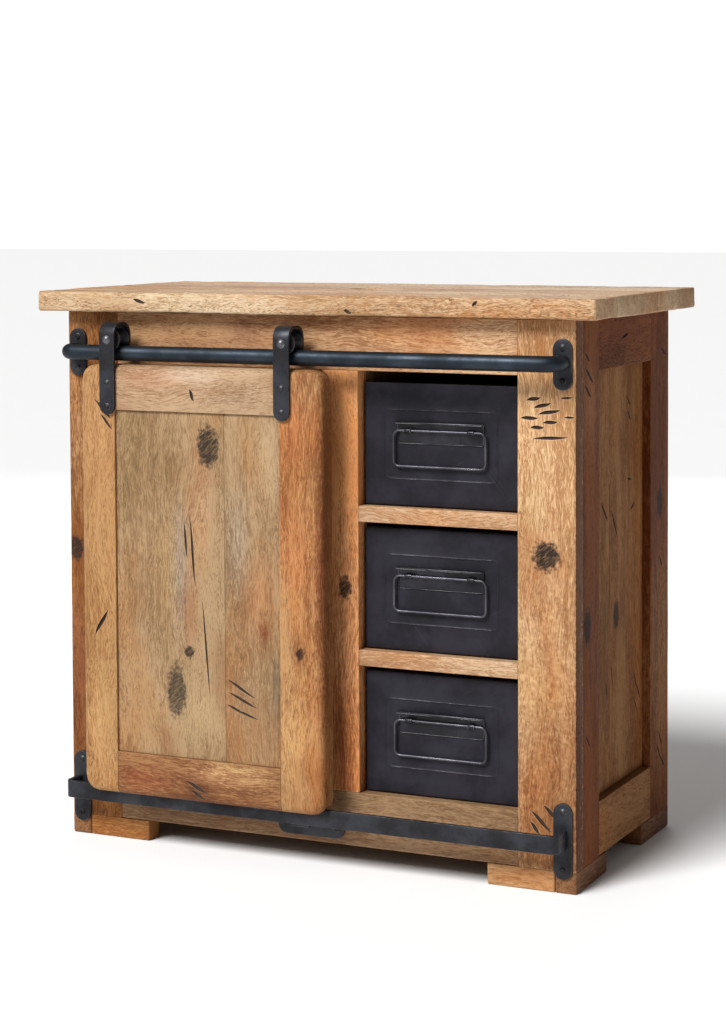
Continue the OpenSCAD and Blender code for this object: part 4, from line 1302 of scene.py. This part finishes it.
def panLines(half, bead):
    # Grid lines across the pan in mm: fine at its rounded edges and along the bead
    edge, wide = drawer["edge"], drawer["bead"][0]
    values = set()
    for side in (-1, 1):
        values.update(side * (half - edge * share) for share in (0, arcShare, 1))
        values.update(side * (bead + offset * wide) for offset in (-0.5, -0.3, 0, 0.3, 0.5))
        values.update(side * (bead - step) for step in drawer["nearBead"])
    count = int(half / drawer["step"])
    fine = (0, 2.5, -2.5, -5)
    for index in range(-count, count + 1):
        spot = index * half / (count + 1)
        if min(abs(abs(spot) - bead - step) for step in fine) > 2.5:
            values.add(spot)
    return sorted(values)


def makeDrawerFront(number):
    # A pressed pan: rounded edges, turned-back flanges and a raised border
    x, bottom = drawer["middle"], drawer["floors"][number]
    halfW, halfH = drawer["width"] / 2, drawer["height"] / 2
    edge = drawer["edge"]
    wide, high, corner = drawer["border"]
    beadWide, beadHigh = drawer["bead"]
    beadW, beadH = (wide - beadWide) / 2, (high - beadWide) / 2
    seed = number * 3.7
    scaleA, scaleB = drawer["dentScale"]

    def shape(point):
        a, depth, b = point
        fromA, fromB = roundEdge(halfW - abs(a), halfH - abs(b), edge)
        fromA, y = roundEdge(fromA, depth, edge)
        fromB, y = roundEdge(fromB, y, edge)
        a, b = math.copysign(halfW - fromA, a), math.copysign(halfH - fromB, b)
        if depth == 0:
            overA, overB = abs(a) - (beadW - corner), abs(b) - (beadH - corner)
            gap = math.hypot(max(overA, 0), max(overB, 0)) + min(max(overA, overB), 0) - corner
            if abs(gap) < beadWide / 2:
                y -= beadHigh * 0.5 * (1 + math.cos(2 * math.pi * gap / beadWide))
            flat = min(1, fromA / drawer["dentRim"], fromB / drawer["dentRim"])
            y += drawer["dent"] * flat * softNoise(Vector((a * scaleA, b * scaleB, seed)))
        return place(x + a, drawer["face"] + y, bottom + halfH + b)

    lines = [panLines(halfW, beadW), [0, edge * arcShare, edge, 6, drawer["pan"]], panLines(halfH, beadH)]
    piece = latticeMesh(f"drawer{number}Front", lines, shape, leftOut=sideNames["y+"])
    piece.data.materials.append(metals["sheetSteel"])
    thick = piece.modifiers.new("sheet", "SOLIDIFY")
    thick.thickness = drawer["sheet"] * mm
    thick.offset = -1
    settle(piece)
    finishMetal(piece, f"drawer_{number}", "sheetSteel", f"drawer_{number}_front")


def makePull(number):
    # A folded plate with two curled eyes, and the wire ring that hangs in them
    x, ringZ, ringY = drawer["middle"], drawer["floors"][number] + pull["ringUp"], pull["ringY"]
    (wide, tall), (out, drop), sheet, bend = pull["plate"], pull["lip"], drawer["sheet"], pull["bend"]
    top = ringZ + pull["lipTop"]
    bendZ = top - sheet / 2 - bend
    plateY, lipY = drawer["face"] - sheet / 2, drawer["face"] - sheet / 2 - out
    path = [place(x, plateY, top - tall + row) for row in pull["rows"]] + [place(x, plateY, bendZ)]
    path += arcPoints(place(x, plateY - bend, bendZ), 0, 90, bend, back, upward, 5)[1:]
    path += arcPoints(place(x, lipY + bend, bendZ), 90, 180, bend, back, upward, 5)
    path += [place(x, lipY, top - drop + 0.4), place(x, lipY, top - drop)]
    insets = dict(enumerate(pull["lowInsets"]))
    insets[len(path) - 1] = pull["lowInsets"][-1]

    def section(index):
        return flipped(stripLoop(wide - insets.get(index, 0), sheet, pull["bevel"]))

    body, node = f"drawer_{number}", f"drawer_{number}_pull_plate"
    finishMetal(sweepMesh(f"drawer{number}PullPlate", path, section, right), body, "pullSteel", node)
    spread, eyeLong, radius, eyeThick = pull["eye"]
    rearY = drawer["face"] - sheet - 0.1
    for side, word in ((-1, "Left"), (1, "Right")):
        eyeX = x + side * spread
        path = [place(eyeX, y, ringZ - radius) for y in (rearY, ringY + 1)]
        path += arcPoints(place(eyeX, ringY, ringZ), 270, 90, radius, back, upward, 12)
        path += [place(eyeX, y, ringZ + radius) for y in (ringY + 1, rearY)]
        loop = flipped(stripLoop(eyeLong, eyeThick, pull["eyeBevel"]))
        finishMetal(sweepMesh(f"drawer{number}Eye{word}", path, loop, right), body, "pullSteel", node)
    ringW, ringH, corner = pull["ring"]
    path = []
    for signX, signZ, start in ((1, 1, 0), (-1, 1, 90), (-1, -1, 180), (1, -1, 270)):
        centre = place(x + signX * (ringW / 2 - corner), ringY,
                       ringZ - ringH / 2 + signZ * (ringH / 2 - corner))
        path += arcPoints(centre, start, start + 90, corner, right, upward, 8)
    wire = circleLoop(pull["wire"] / 2 * mm, pull["wireSides"])
    ring = sweepMesh(f"drawer{number}Ring", path, wire, back, closed=True)
    finishMetal(ring, f"pull_{number}", "ringSteel", f"drawer_{number}_ring")


def makeDrawers():
    for number in drawer["floors"]:
        makeDrawerFront(number)
        makePull(number)
        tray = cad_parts[f"drawer_{number}_tray"]
        tray.data.materials.clear()
        tray.data.materials.append(metals["traySteel"])
        edge = tray.modifiers.new("sheetEdge", "BEVEL")
        edge.width = drawer["trayBevel"]
        edge.segments = 2
        edge.limit_method = "ANGLE"
    print("drawers built")


floorLook = {"half": 30.0, "colour": (0.93, 0.93, 0.93), "speck": 0.985, "speckScale": 8.0, "rough": 0.75}


def makeFloor():
    half = floorLook["half"]
    points = [(-half, -half, 0), (half, -half, 0), (half, half, 0), (-half, half, 0)]
    ground = linkMesh("studioFloor", points, [(0, 1, 2, 3)], smooth=False)
    material, tree, shader, where = newMaterial("floorPaint")
    shade = tuple(part * floorLook["speck"] for part in floorLook["colour"])
    speck = plainNoise(tree, where, floorLook["speckScale"], 3.0)
    feed(tree, shader, {"Base Color": blendColour(tree, speck, floorLook["colour"], shade),
                        "Roughness": floorLook["rough"]})
    ground.data.materials.append(material)


makeCamera()
makeLights()
makeFloor()
makeCarcass()
makeRailsAndShelves()
makeSidePanels()
makeBackPanel()
makeFeet()
makeDoor()
makeRoundBar()
makeGuideBar()
makePlates()
makeScrews()
makeHangers()
makeDrawers()
